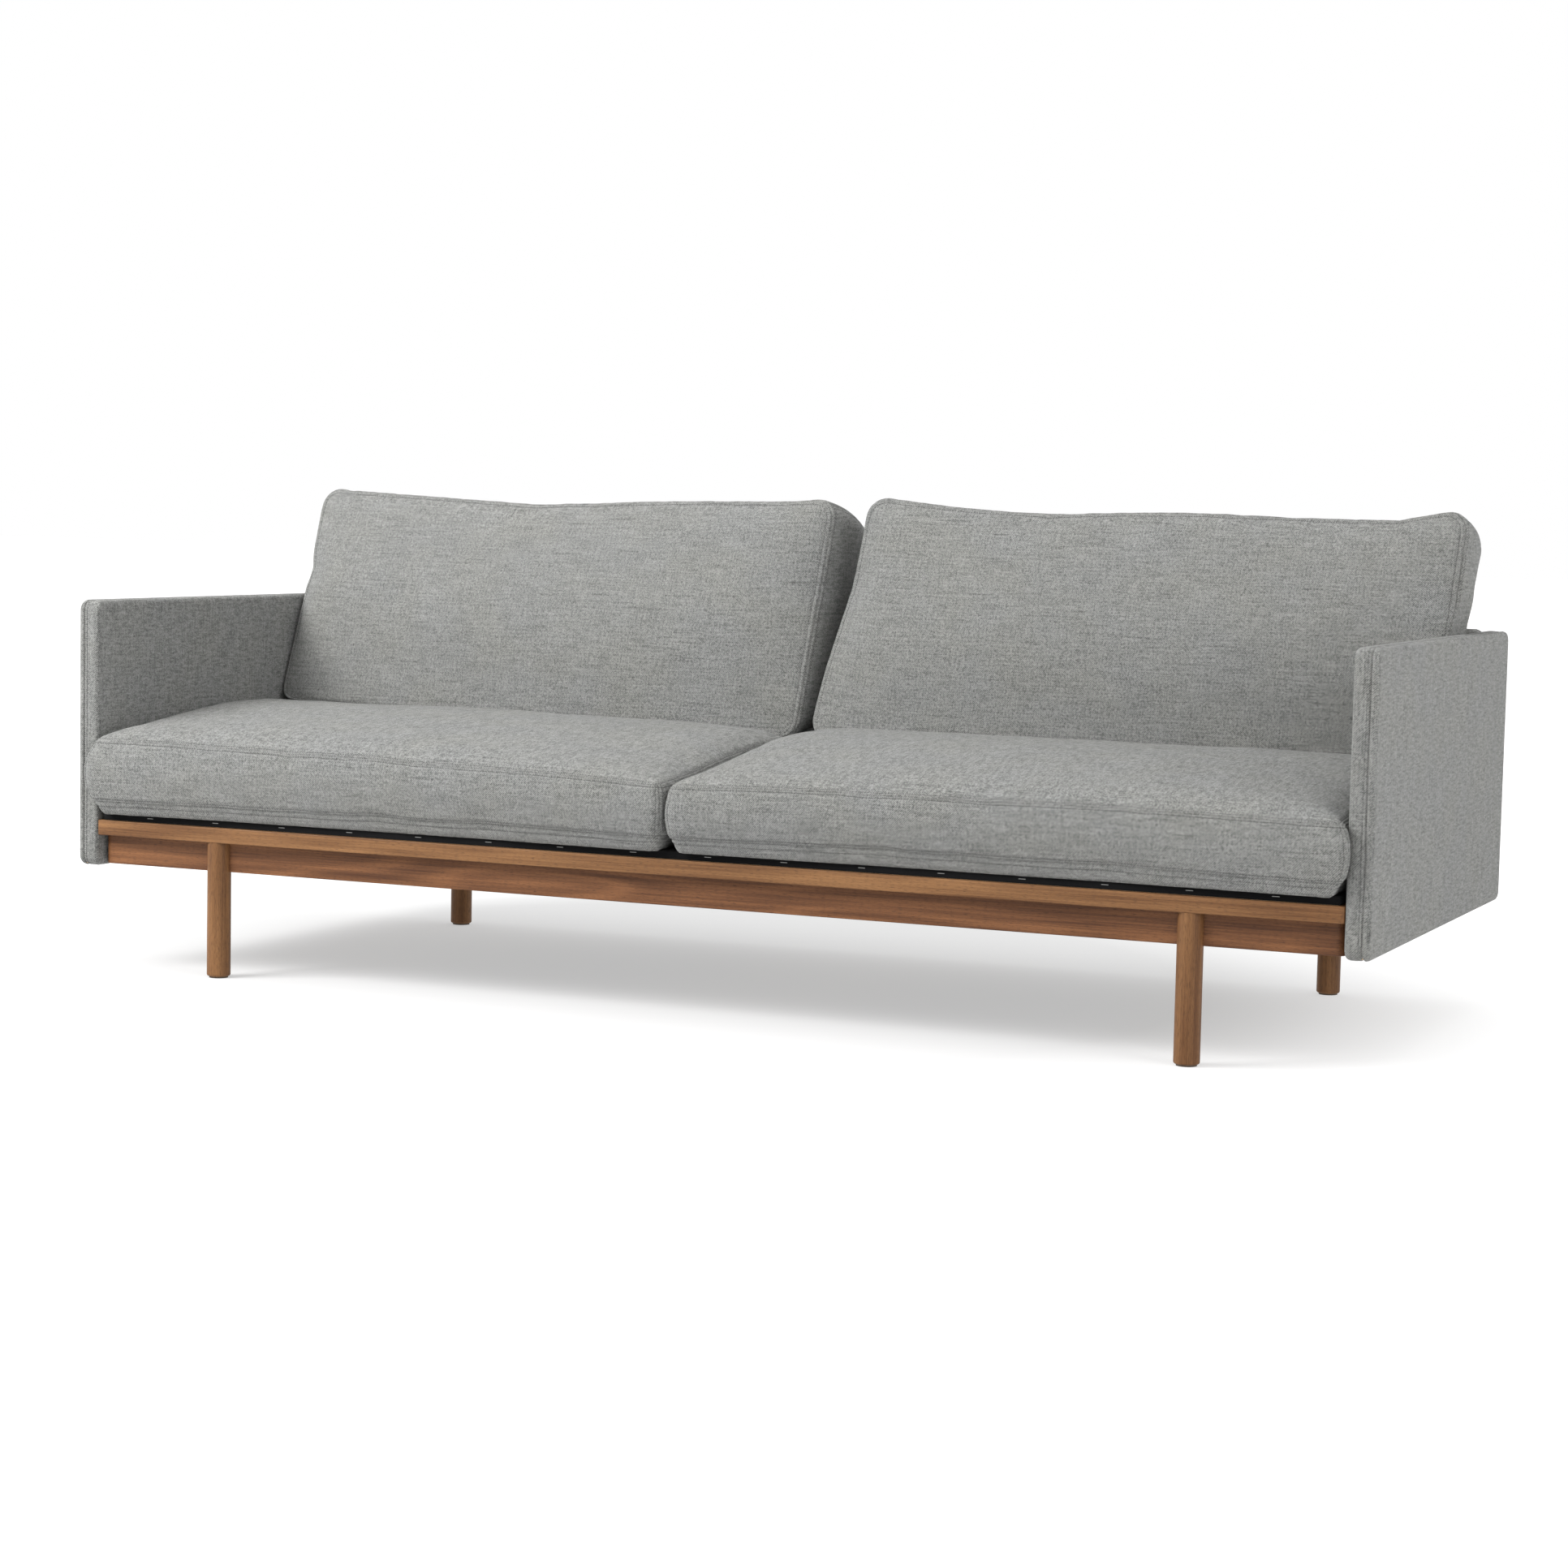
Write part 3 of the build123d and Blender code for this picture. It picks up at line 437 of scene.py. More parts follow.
class Pad:
    """A boxed pad: a front panel, a back panel and a strip between them, as welded grids.

    u runs across a panel and v up it, both from its middle. place(u, v, side, lift) puts a point in
    the frame: side goes from 1 on the front seam to -1 on the back one, and lift is how far a
    panel stands out from its seam. crown(u, v) gives the lifts of the front and back panels.
    """

    def __init__(self, name, size, corner, cell, place, crown, bulge):
        self.name, self.size, self.corner = name, size, corner
        self.cells = [max(int(round(length / cell)), 3) for length in size]
        nu, nv, nw = self.cells
        self.along_u = np.linspace(-size[0] / 2, size[0] / 2, nu + 1)
        self.along_v = np.linspace(-size[1] / 2, size[1] / 2, nv + 1)
        u, v = self.flat()
        lift = crown(u, v)
        self.front = place(u, v, 1.0, lift[0])
        self.back = place(u, v, -1.0, lift[1])
        border = self.ring(np.stack([u, v], -1))
        outward = np.roll(border, -1, 0) - np.roll(border, 1, 0)
        outward = np.stack([outward[:, 1], -outward[:, 0]], -1)
        outward /= np.linalg.norm(outward, axis=1, keepdims=True)
        rows = []
        for i in range(nw + 1):
            side = 1 - 2 * i / nw
            spread = border + outward * bulge * (1 - side ** 2)
            rows.append(place(spread[:, 0], spread[:, 1], side, 0.0))
        self.strip = np.stack(rows, 1)
        self.depth = np.linspace(0, size[2], nw + 1)

    def flat(self):
        """The grid's flat coordinates, its square corners drawn in to round ones."""
        u, v = np.meshgrid(self.along_u, self.along_v, indexing="ij")
        inner_u, inner_v = self.size[0] / 2 - self.corner, self.size[1] / 2 - self.corner
        a = np.clip((np.abs(u) - inner_u) / self.corner, 0.0, 1.0)
        b = np.clip((np.abs(v) - inner_v) / self.corner, 0.0, 1.0)
        round_u = np.where(a > 0, inner_u + self.corner * a * np.sqrt(1 - b ** 2 / 2), np.abs(u))
        round_v = np.where(b > 0, inner_v + self.corner * b * np.sqrt(1 - a ** 2 / 2), np.abs(v))
        return np.sign(u) * round_u, np.sign(v) * round_v

    def inset(self):
        """How far each of the grid's points lies inside the panel's seam."""
        return inset_in(self.size, self.corner, *self.flat())

    def ring(self, panel):
        """The panel's border points in order round its edge."""
        return np.concatenate([panel[:-1, 0], panel[-1, :-1], panel[:0:-1, -1], panel[0, :0:-1]])

    def mesh(self):
        """Vertices and faces of the closed form, with shared borders."""
        nu, nv = self.front.shape[0] - 1, self.front.shape[1] - 1
        size = (nu + 1) * (nv + 1)
        index = np.arange(size).reshape(nu + 1, nv + 1)
        ring = self.ring(index[..., None])[:, 0]
        count, rows = self.strip.shape[:2]
        middle = np.arange(count * (rows - 2)).reshape(count, rows - 2) + 2 * size
        strip_index = np.concatenate([ring[:, None], middle, (ring + size)[:, None]], 1)
        points = np.concatenate([self.front.reshape(-1, 3), self.back.reshape(-1, 3),
                                 self.strip[:, 1:-1].reshape(-1, 3)])
        quads = grid_quads(index)
        after = np.roll(strip_index, -1, 0)
        sides = np.stack([strip_index[:, :-1], strip_index[:, 1:], after[:, 1:], after[:, :-1]], -1)
        return points, np.concatenate([quads, (quads + size)[:, ::-1], sides.reshape(-1, 4)])

    def unpack(self, points):
        """Puts the points of mesh() back into the grids."""
        size = self.front.shape[0] * self.front.shape[1]
        self.front = points[:size].reshape(self.front.shape)
        self.back = points[size:2 * size].reshape(self.back.shape)
        middle = points[2 * size:].reshape(self.strip.shape[0], self.strip.shape[1] - 2, 3)
        self.strip = np.concatenate([self.ring(self.front)[:, None], middle,
                                     self.ring(self.back)[:, None]], 1)

    def inflate(self, pressure, cap, keep, bending=0.4, calm_below=0.0, calm_reach=1 * MM):
        """Inflates the cover as cloth, no point moved by more than cap.

        keep scales the moves along x, y and z, and points below a height can be held calm.
        """
        points, faces = self.mesh()
        obj = make_object(self.name + "_cloth", points, faces)
        cloth = obj.modifiers.new("Cloth", "CLOTH")
        wanted = {"quality": 5, "mass": 0.3, "tension_stiffness": CLOTH_STIFFNESS,
                  "compression_stiffness": CLOTH_STIFFNESS, "shear_stiffness": CLOTH_STIFFNESS / 2,
                  "bending_stiffness": bending, "use_pressure": True, "uniform_pressure_force": pressure}
        for setting, value in wanted.items():
            setattr(cloth.settings, setting, value)
        cloth.settings.effector_weights.gravity = 0
        for step in range(1, CLOTH_FRAMES + 1):
            bpy.context.scene.frame_set(step)
        solved = obj.evaluated_get(bpy.context.evaluated_depsgraph_get()).to_mesh()
        found = np.empty(len(points) * 3)
        solved.vertices.foreach_get("co", found)
        bpy.data.objects.remove(obj)
        bpy.context.scene.frame_set(1)
        move = (found.reshape(-1, 3) - points) * keep
        length = np.linalg.norm(move, axis=1, keepdims=True)
        free = ramp(points[:, 2:], calm_below, calm_below + calm_reach)
        self.unpack(points + free * move * cap * np.tanh(length / cap) / np.maximum(length, 1e-9))

    def adjust(self, change):
        """Applies change(points) to every grid."""
        self.front, self.back, self.strip = change(self.front), change(self.back), change(self.strip)

    def refine(self, step):
        """Resamples the grids: tight rows near each seam, then rows about step apart."""

        def rows(length):
            edge = SEAM_ROWS[-1]
            middle = np.linspace(edge, length - edge, max(int((length - 2 * edge) / step), 1) + 1)
            return np.concatenate([SEAM_ROWS[:-1], middle, [length - d for d in reversed(SEAM_ROWS[:-1])]])

        nu, nv, nw = self.cells
        along_u, along_v, along_w = (rows(length) for length in self.size)
        pu, pv, pw = along_u / self.size[0] * nu, along_v / self.size[1] * nv, along_w / self.size[2] * nw
        ring = np.concatenate([pu[:-1], nu + pv[:-1], 2 * nu + nv - pu[:0:-1], 2 * (nu + nv) - pv[:0:-1]])
        self.front = resample(resample(self.front, pu, 0), pv, 1)
        self.back = resample(resample(self.back, pu, 0), pv, 1)
        self.strip = resample(resample(self.strip, ring, 0, wrap=True), pw, 1)
        self.along_u, self.along_v = along_u - self.size[0] / 2, along_v - self.size[1] / 2
        self.depth = along_w
        self.weld()

    def weld(self):
        self.strip[:, 0], self.strip[:, -1] = self.ring(self.front), self.ring(self.back)

    def normals(self):
        return grid_normals(self.front), -grid_normals(self.back), -grid_normals(self.strip, wrap=True)

    def sew(self, panel_relief, strip_relief):
        """Moves the surface in or out along its normals, by its distance from the seams."""
        front_normal, back_normal, strip_normal = self.normals()
        borders = self.ring(self.front).copy(), self.ring(self.back).copy()
        inset = self.inset()
        edge = self.ring(front_normal) + strip_normal[:, 0]
        edge_back = self.ring(back_normal) + strip_normal[:, -1]
        self.front = self.front + front_normal * panel_relief(inset, self.front)[..., None]
        self.back = self.back + back_normal * panel_relief(inset, self.back)[..., None]
        near = np.minimum(self.depth, self.depth[-1] - self.depth)[None, :]
        relief = strip_relief(np.broadcast_to(near, self.strip.shape[:2]), self.strip)
        self.strip = self.strip + strip_normal * relief[..., None]
        depth = strip_relief(np.zeros(1), self.strip[:1, 0])[0]
        for panel, border, out in ((self.front, borders[0], edge), (self.back, borders[1], edge_back)):
            out = out / np.linalg.norm(out, axis=-1, keepdims=True)
            self.set_border(panel, border + out * depth)
        self.weld()

    def set_border(self, panel, values):
        """Writes a ring of points back to a panel's border."""
        nu, nv = panel.shape[0] - 1, panel.shape[1] - 1
        panel[:-1, 0] = values[:nu]
        panel[-1, :-1] = values[nu:nu + nv]
        panel[:0:-1, -1] = values[nu + nv:2 * nu + nv]
        panel[0, :0:-1] = values[2 * nu + nv:]

    def panel_path(self, front, inset, step=4 * MM):
        """A closed line of points and normals that runs inset from a panel's seam."""
        half_u, half_v = self.size[0] / 2 - inset, self.size[1] / 2 - inset
        radius = max(self.corner - inset, 1 * MM)
        path = []
        for k, (cu, cv) in enumerate(((1, -1), (1, 1), (-1, 1), (-1, -1))):
            centre = np.array([cu * (half_u - radius), cv * (half_v - radius)])
            for angle in np.linspace(-math.pi / 2, 0, 8) + k * math.pi / 2:
                path.append(centre + radius * np.array([math.cos(angle), math.sin(angle)]))
        path = np.array(path + path[:1])
        travel = travel_along(path)
        at = np.linspace(0, travel[-1], int(travel[-1] / step))
        u, v = (np.interp(at, travel, path[:, k]) for k in range(2))
        u, v = self.unround(u, v)
        grid = self.front if front else self.back
        normal = self.normals()[0 if front else 1]
        pu = np.interp(u, self.along_u, np.arange(len(self.along_u)))
        pv = np.interp(v, self.along_v, np.arange(len(self.along_v)))
        return self.bilinear(grid, pu, pv), self.bilinear(normal, pu, pv)

    def unround(self, u, v):
        """The square grid's coordinates of a point given in rounded ones."""
        inner_u, inner_v = self.size[0] / 2 - self.corner, self.size[1] / 2 - self.corner
        x = np.clip((np.abs(u) - inner_u) / self.corner, 0.0, 1.0)
        y = np.clip((np.abs(v) - inner_v) / self.corner, 0.0, 1.0)
        root = 2 * math.sqrt(2)
        a = (np.sqrt(2 + x ** 2 - y ** 2 + root * x)
             - np.sqrt(np.maximum(2 + x ** 2 - y ** 2 - root * x, 0))) / 2
        b = (np.sqrt(2 - x ** 2 + y ** 2 + root * y)
             - np.sqrt(np.maximum(2 - x ** 2 + y ** 2 - root * y, 0))) / 2
        square_u = np.where((x > 0) & (y > 0), inner_u + self.corner * a, np.abs(u))
        square_v = np.where((x > 0) & (y > 0), inner_v + self.corner * b, np.abs(v))
        return np.sign(u) * square_u, np.sign(v) * square_v

    @staticmethod
    def bilinear(grid, pu, pv):
        i, j = np.minimum(pu.astype(int), grid.shape[0] - 2), np.minimum(pv.astype(int), grid.shape[1] - 2)
        s, t = (pu - i)[:, None], (pv - j)[:, None]
        return ((grid[i, j] * (1 - s) + grid[i + 1, j] * s) * (1 - t)
                + (grid[i, j + 1] * (1 - s) + grid[i + 1, j + 1] * s) * t)

    def strip_line(self, at):
        """The strip's points and normals at a depth from the front seam."""
        place = float(np.interp(at, self.depth, np.arange(len(self.depth))))
        row = int(place)
        t = place - row
        return [grid[:, row] * (1 - t) + grid[:, row + 1] * t for grid in (self.strip, self.normals()[2])]

    def strip_path(self, inset):
        """A closed line along the strip, inset from the front seam, or from the back one if negative."""
        line, out = self.strip_line(inset if inset > 0 else self.depth[-1] + inset)
        return np.concatenate([line, line[:1]]), np.concatenate([out, out[:1]])

    def cross_path(self, corner, offset):
        """A line across the strip at one of the panel's corners, offset along the ring."""
        ring = self.ring_travel()
        target = (ring[self.corner_starts()[corner]] + offset) % ring[-1]
        place = float(np.interp(target, ring, np.arange(len(ring))))
        k = int(place)
        t = place - k
        after = (k + 1) % len(self.strip)
        k = k % len(self.strip)
        line, out = (grid[k] * (1 - t) + grid[after] * t for grid in (self.strip, self.normals()[2]))
        return line[4:-4], out[4:-4]

    def corner_starts(self):
        """Where each corner comes in the ring."""
        across, up = len(self.along_u) - 1, len(self.along_v) - 1
        return 0, across, across + up, 2 * across + up

    def ring_travel(self):
        """Distances along the ring, from its first point to all of its length."""
        border = self.ring(np.stack(self.flat(), -1))
        return travel_along(np.concatenate([border, border[:1]]))

    def corner_distance(self, corners):
        """Each strip column's distance along the ring from the nearest of some corners."""
        ring = self.ring_travel()
        gaps = [np.abs(ring[:-1] - ring[self.corner_starts()[corner]]) for corner in corners]
        return np.min([np.minimum(gap, ring[-1] - gap) for gap in gaps], axis=0)

    def build(self, material):
        points, faces = self.mesh()
        return make_object(self.name, points, faces, material)


FINE_CELL = 9 * MM  # the refined grids' rows away from the seams


def groove(distance, place, depth, width):
    """A rounded valley across a distance; below zero."""
    return -depth * np.exp(-((distance - place) / width) ** 2)


def seam(distance, stitch_at, depth=2.6 * MM):
    """The cloth's height near a seam: its valley, a roll beside it and the line of topstitching."""
    relief = groove(distance, 0.0, depth, 2.2 * MM)
    relief -= groove(distance, stitch_at / 2, 0.7 * MM, stitch_at / 3)
    relief += groove(distance, stitch_at, 1.0 * MM, 1.6 * MM)
    return relief - groove(distance, stitch_at + 7 * MM, 0.6 * MM, 4.5 * MM)


def puckers(distance, points, seed, height=0.9 * MM):
    """Small gathers that cross a seam and die away from it."""
    wave = field(points, 42.0, seed) + 0.6 * field(points, 95.0, seed + 7)
    return height * wave * np.exp(-distance / (16 * MM))


def swell(points, seed, height):
    """The slow unevenness of a soft filling."""
    return height * (field(points, 5.5, seed) + 0.5 * field(points, 13.0, seed + 3))


STITCH_PITCH = 4.8 * MM
STITCH_LENGTH = 3.5 * MM
STITCH_RADIUS = 0.55 * MM
STITCH_SIDES = 6
STITCH_PROFILE = ((0.0, 0.3), (0.15, 0.85), (0.5, 1.0), (0.85, 0.85), (1.0, 0.3))  # place, thickness


def stitch_row(line, normal):
    """Starts and ends of the stitches along a line, standing just proud of the cloth."""
    line = line + normal * STITCH_RADIUS * 0.35
    travel = travel_along(line)
    count = int(travel[-1] / STITCH_PITCH)
    starts = np.arange(count) * STITCH_PITCH + (travel[-1] - count * STITCH_PITCH) / 2
    ends = [np.stack([np.interp(s, travel, line[:, k]) for k in range(3)], -1)
            for s in (starts, starts + STITCH_LENGTH)]
    return np.stack(ends, 1)


def sew_stitches(name, rows, material):
    """All the stitches of a piece as one mesh of short round threads."""
    pairs = np.concatenate(rows)
    start, end = pairs[:, 0], pairs[:, 1]
    axis = end - start
    axis /= np.maximum(np.linalg.norm(axis, axis=1, keepdims=True), 1e-9)
    helper = np.where(np.abs(axis[:, 2:]) < 0.8, [[0.0, 0.0, 1.0]], [[1.0, 0.0, 0.0]])
    side = np.cross(axis, helper)
    side /= np.linalg.norm(side, axis=1, keepdims=True)
    other = np.cross(axis, side)
    rings, local = [], []
    for r, (t, width) in enumerate(STITCH_PROFILE):
        for k in range(STITCH_SIDES):
            angle = 2 * math.pi * k / STITCH_SIDES
            offset = (side * math.cos(angle) + other * math.sin(angle)) * STITCH_RADIUS * width
            rings.append(start + (end - start) * t + offset)
            a, b = r * STITCH_SIDES + k, r * STITCH_SIDES + (k + 1) % STITCH_SIDES
            local.append((a, b, b + STITCH_SIDES, a + STITCH_SIDES))
    points = np.stack(rings, 1).reshape(-1, 3)
    local = local[:-STITCH_SIDES]
    first = tuple(range(STITCH_SIDES))
    last = tuple(len(rings) - STITCH_SIDES + k for k in first)
    local += [first[::-1], last]
    faces = [tuple(base + i for i in face) for base in range(0, len(points), len(rings)) for face in local]
    return make_object(name, points, faces, material)


def inner_form(name, pad, inset, material):
    """A filling that follows the pad's cover from inside."""
    points, faces = pad.mesh()
    obj = make_object(name, points, faces, material)
    normals = np.empty(len(points) * 3)
    obj.data.vertex_normals.foreach_get("vector", normals)
    moved = points - normals.reshape(-1, 3) * inset
    obj.data.vertices.foreach_set("co", moved.ravel())
    obj.data.update()
    return obj


# ---- cushions

ARM_INNER = high("seat_cushion_cover_right").x  # where the arms squeeze the seat cushions
MEETING = low("seat_cushion_cover_right").x  # the cushions meet this far from the middle
SEAT_FRONT, SEAT_REAR = low("seat_cushion_cover_left").y, high("seat_cushion_cover_left").y
SEAT_TOP = high("seat_cushion_cover_left").z
DECK_TOP = high("deck_cloth").z
ARM_FRONT = low("arm_cover_left").y
SEAT_BOTTOM_SEAM = 281 * MM
SEAT_REAR_SEAM = 420 * MM
SEAT_FRONT_SEAM = {"left": 384 * MM, "right": 376 * MM}
SEAT_SINK = {"left": (22 * MM, 0.0), "right": (14 * MM, 12 * MM)}  # at the inner and outer ends
LIP_DROP = 5.5 * MM  # the lower front edge hangs over the rail's face
FRONT_SQUEEZE_OUT = 14 * MM  # how far the ends swell in front of the arms
SEAT_STITCH = 5 * MM
SEAT_THICK = 118 * MM  # height of the strip, for its rows
SEAT_CORNER = 18 * MM
SEAT_CROWN = 36 * MM
SEAT_UNDERSIDE = 27 * MM  # how far the bottom panel rolls under its seam
SEAT_BELLY = 325 * MM  # the fullest height of its ends
SEAT_REAR_SLACK = 10 * MM
SEAT_CLEAR = 0.8 * MM  # from the deck cloth
MEETING_CLEAR = 0.2 * MM
BACK_PRESS = 12 * MM  # how deep the back cushions press in
BACK_PRESS_REACH = 80 * MM


def sink(side_name, x):
    """How much lower the seat cushion's upper side lies, from its inner end to its outer one."""
    ends = SEAT_SINK[side_name]
    return ends[0] + (ends[1] - ends[0]) * (SIDES[side_name] * x - MEETING) / (ARM_INNER - MEETING)


def pressed(y, sunk):
    """The seat cushions' highest surface, which the back cushions press down behind their front."""
    return SEAT_TOP - (BACK_PRESS + sunk) * ramp(y, 0.0, BACK_PRESS_REACH)


def shape_seat(side_name):
    """A seat cushion: crowned on top, flat on the deck, and swollen past the arms at its front end."""
    side = SIDES[side_name]
    inner, outer = MEETING, ARM_INNER
    width, length = outer - inner, SEAT_REAR - SEAT_FRONT - SEAT_REAR_SLACK
    centre_x = side * (inner + outer) / 2
    centre_y = (SEAT_FRONT + SEAT_REAR) / 2
    front_seam = SEAT_FRONT_SEAM[side_name]

    def upper_seam(y):
        return front_seam + (SEAT_REAR_SEAM - front_seam) * ramp(y, SEAT_FRONT, -20 * MM)

    def place(u, v, level, lift):
        x, y = centre_x + u, centre_y + v
        upper = upper_seam(y) - sink(side_name, x)
        lower = np.full_like(upper, SEAT_BOTTOM_SEAM) - 9 * MM * ramp(y, SEAT_FRONT, 0.0)
        z = lower + (upper - lower) * (level + 1) / 2 + lift * np.sign(level)
        return np.stack([x + 0 * z, y + 0 * z, z], -1)

    def crown(u, v):
        across = 1 - np.abs(2 * u / width) ** 2.1
        along = 1 - np.abs(2 * v / length) ** 2.3
        top = SEAT_CROWN * np.clip(across * along, 0, 1) ** 0.7
        ends = ramp(np.abs(2 * u / width), 0.86, 1.0) * ramp(-v, 0.3 * length, 0.5 * length)
        inset = inset_in((width, length), SEAT_CORNER, u, v)
        roll = np.clip(inset / (12 * MM + 44 * MM * ends), 0, 1)
        return top, SEAT_UNDERSIDE * np.sqrt(1 - (1 - roll) ** 2)

    pad = Pad("seat_cushion_" + side_name, (width, length, SEAT_THICK), SEAT_CORNER, 15 * MM, place, crown,
              11 * MM)
    pad.inflate(3.2, 22 * MM, (0.1, 0.1, 0.7))

    def settle(points):
        x, y, z = np.moveaxis(points, -1, 0)
        sunk = sink(side_name, x)
        seam_height = upper_seam(y) - sunk
        room = SEAT_TOP - seam_height
        over = (z - seam_height) / room
        domed = seam_height + room * over / (1 + np.abs(over) ** 2.5) ** 0.4
        z = np.where(z > seam_height, domed, z)
        z = np.minimum(z, pressed(y, sunk))
        lip = ramp(-y, -SEAT_FRONT - 26 * MM, -SEAT_FRONT - 8 * MM)
        lip = lip * (1 - np.clip(np.abs(2 * (x - centre_x) / width), 0, 1) ** 6)
        z = np.maximum(z, DECK_TOP + SEAT_CLEAR - LIP_DROP * lip)
        front_end = ramp(y, ARM_FRONT, ARM_FRONT - 14 * MM)
        swollen = FRONT_SQUEEZE_OUT * front_end * np.exp(-((z - SEAT_BELLY) / (48 * MM)) ** 4)
        reach = side * x
        reach = np.minimum(reach + swollen * ramp(reach, outer - 70 * MM, outer), outer + swollen)
        x = side * np.maximum(reach, inner + MEETING_CLEAR)
        y = np.clip(y, SEAT_FRONT - 12 * MM, SEAT_REAR - 1.2 * MM)
        y = np.where(z < 350 * MM, y, np.minimum(y, SEAT_REAR + 6 * MM))
        return np.stack([x, y, z], -1)

    pad.adjust(settle)
    return pad


def finish_cushion(pad, side_name, kind, stitch_at, front_corners, seed, swells):
    """Seams, stitches and the filling of a cushion, all riding on its body."""
    body = kind + "_cushion_" + side_name
    filling = inner_form(kind + "_foam_" + side_name, pad, 9 * MM, materials["foam"])
    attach(filling, body)
    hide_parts(kind + "_cushion_core_" + side_name)
    pad.refine(FINE_CELL)
    corner_gap = pad.corner_distance(front_corners)[:, None]

    def panel_relief(distance, points):
        return (seam(distance, stitch_at) + puckers(distance, points, seed)
                + swell(points, seed + 20, swells) * ramp(distance, 0, 60 * MM))

    def strip_relief(distance, points):
        relief = seam(distance, stitch_at) + puckers(distance, points, seed + 5)
        if points.ndim == 3:
            fade = ramp(distance, 0, 12 * MM)
            relief = relief + groove(corner_gap, 0.0, 2.2 * MM, 2.2 * MM) * fade
            relief = relief + groove(corner_gap, 6 * MM, 0.9 * MM, 1.6 * MM) * fade
            relief = relief + swell(points, seed + 40, swells * 0.7) * fade
        return relief

    pad.sew(panel_relief, strip_relief)
    cover = pad.build(materials["twill"])
    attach(cover, body)
    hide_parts(kind + "_cushion_cover_" + side_name)
    rows = [stitch_row(*pad.panel_path(front, stitch_at)) for front in (True, False)]
    rows += [stitch_row(*pad.strip_path(place)) for place in (stitch_at, -stitch_at)]
    for corner in front_corners:
        rows += [stitch_row(*pad.cross_path(corner, offset)) for offset in (-6 * MM, 6 * MM)]
    stitches = sew_stitches(kind + "_cushion_stitching_" + side_name, rows, materials["thread"])
    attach(stitches, body)
    return cover


BACK_LEAN = math.radians(21.7)
BACK_FOOT = (99 * MM, 422 * MM)  # the front seam's foot, y and z
BACK_RISE = 384 * MM
BACK_STITCH = 9 * MM
BACK_TWIST = 24 * MM  # each end's offset; the inner one stands forward
BACK_SAG = 40 * MM  # how far the foot bellies forward at its middle
BACK_THICK = 150 * MM  # depth of the strip, for its rows
BACK_CORNER = 38 * MM
BACK_CROWN = 30 * MM
BACK_REAR_CROWN = 62 * MM
BACK_EAR = 11 * MM  # how far the upper corners stand up
BACK_SHIFT = {"left": (-12 * MM, -9 * MM), "right": (13 * MM, 50 * MM)}  # sideways at the foot and the top
BACK_SWELL = 14 * MM  # past the arms' inner faces, above the arms
BACK_SWELL_TOP = 720 * MM
BACK_CLEAR = 1 * MM  # from the seat cushion
PANEL_CLEAR = 1.5 * MM  # from the back panel
BACK_LIFT = 16 * MM  # the underside rises off the seat behind its front edge
BACK_LIFT_SPAN = (105 * MM, 160 * MM)
BACK_REAR_FOOT = (292 * MM, 440 * MM)
BACK_REAR_RISE = 322 * MM
BACK_REAR_RUN = 105 * MM
PANEL_FACE = low("back_panel_cover").y
PANEL_TOP = high("back_panel_cover").z


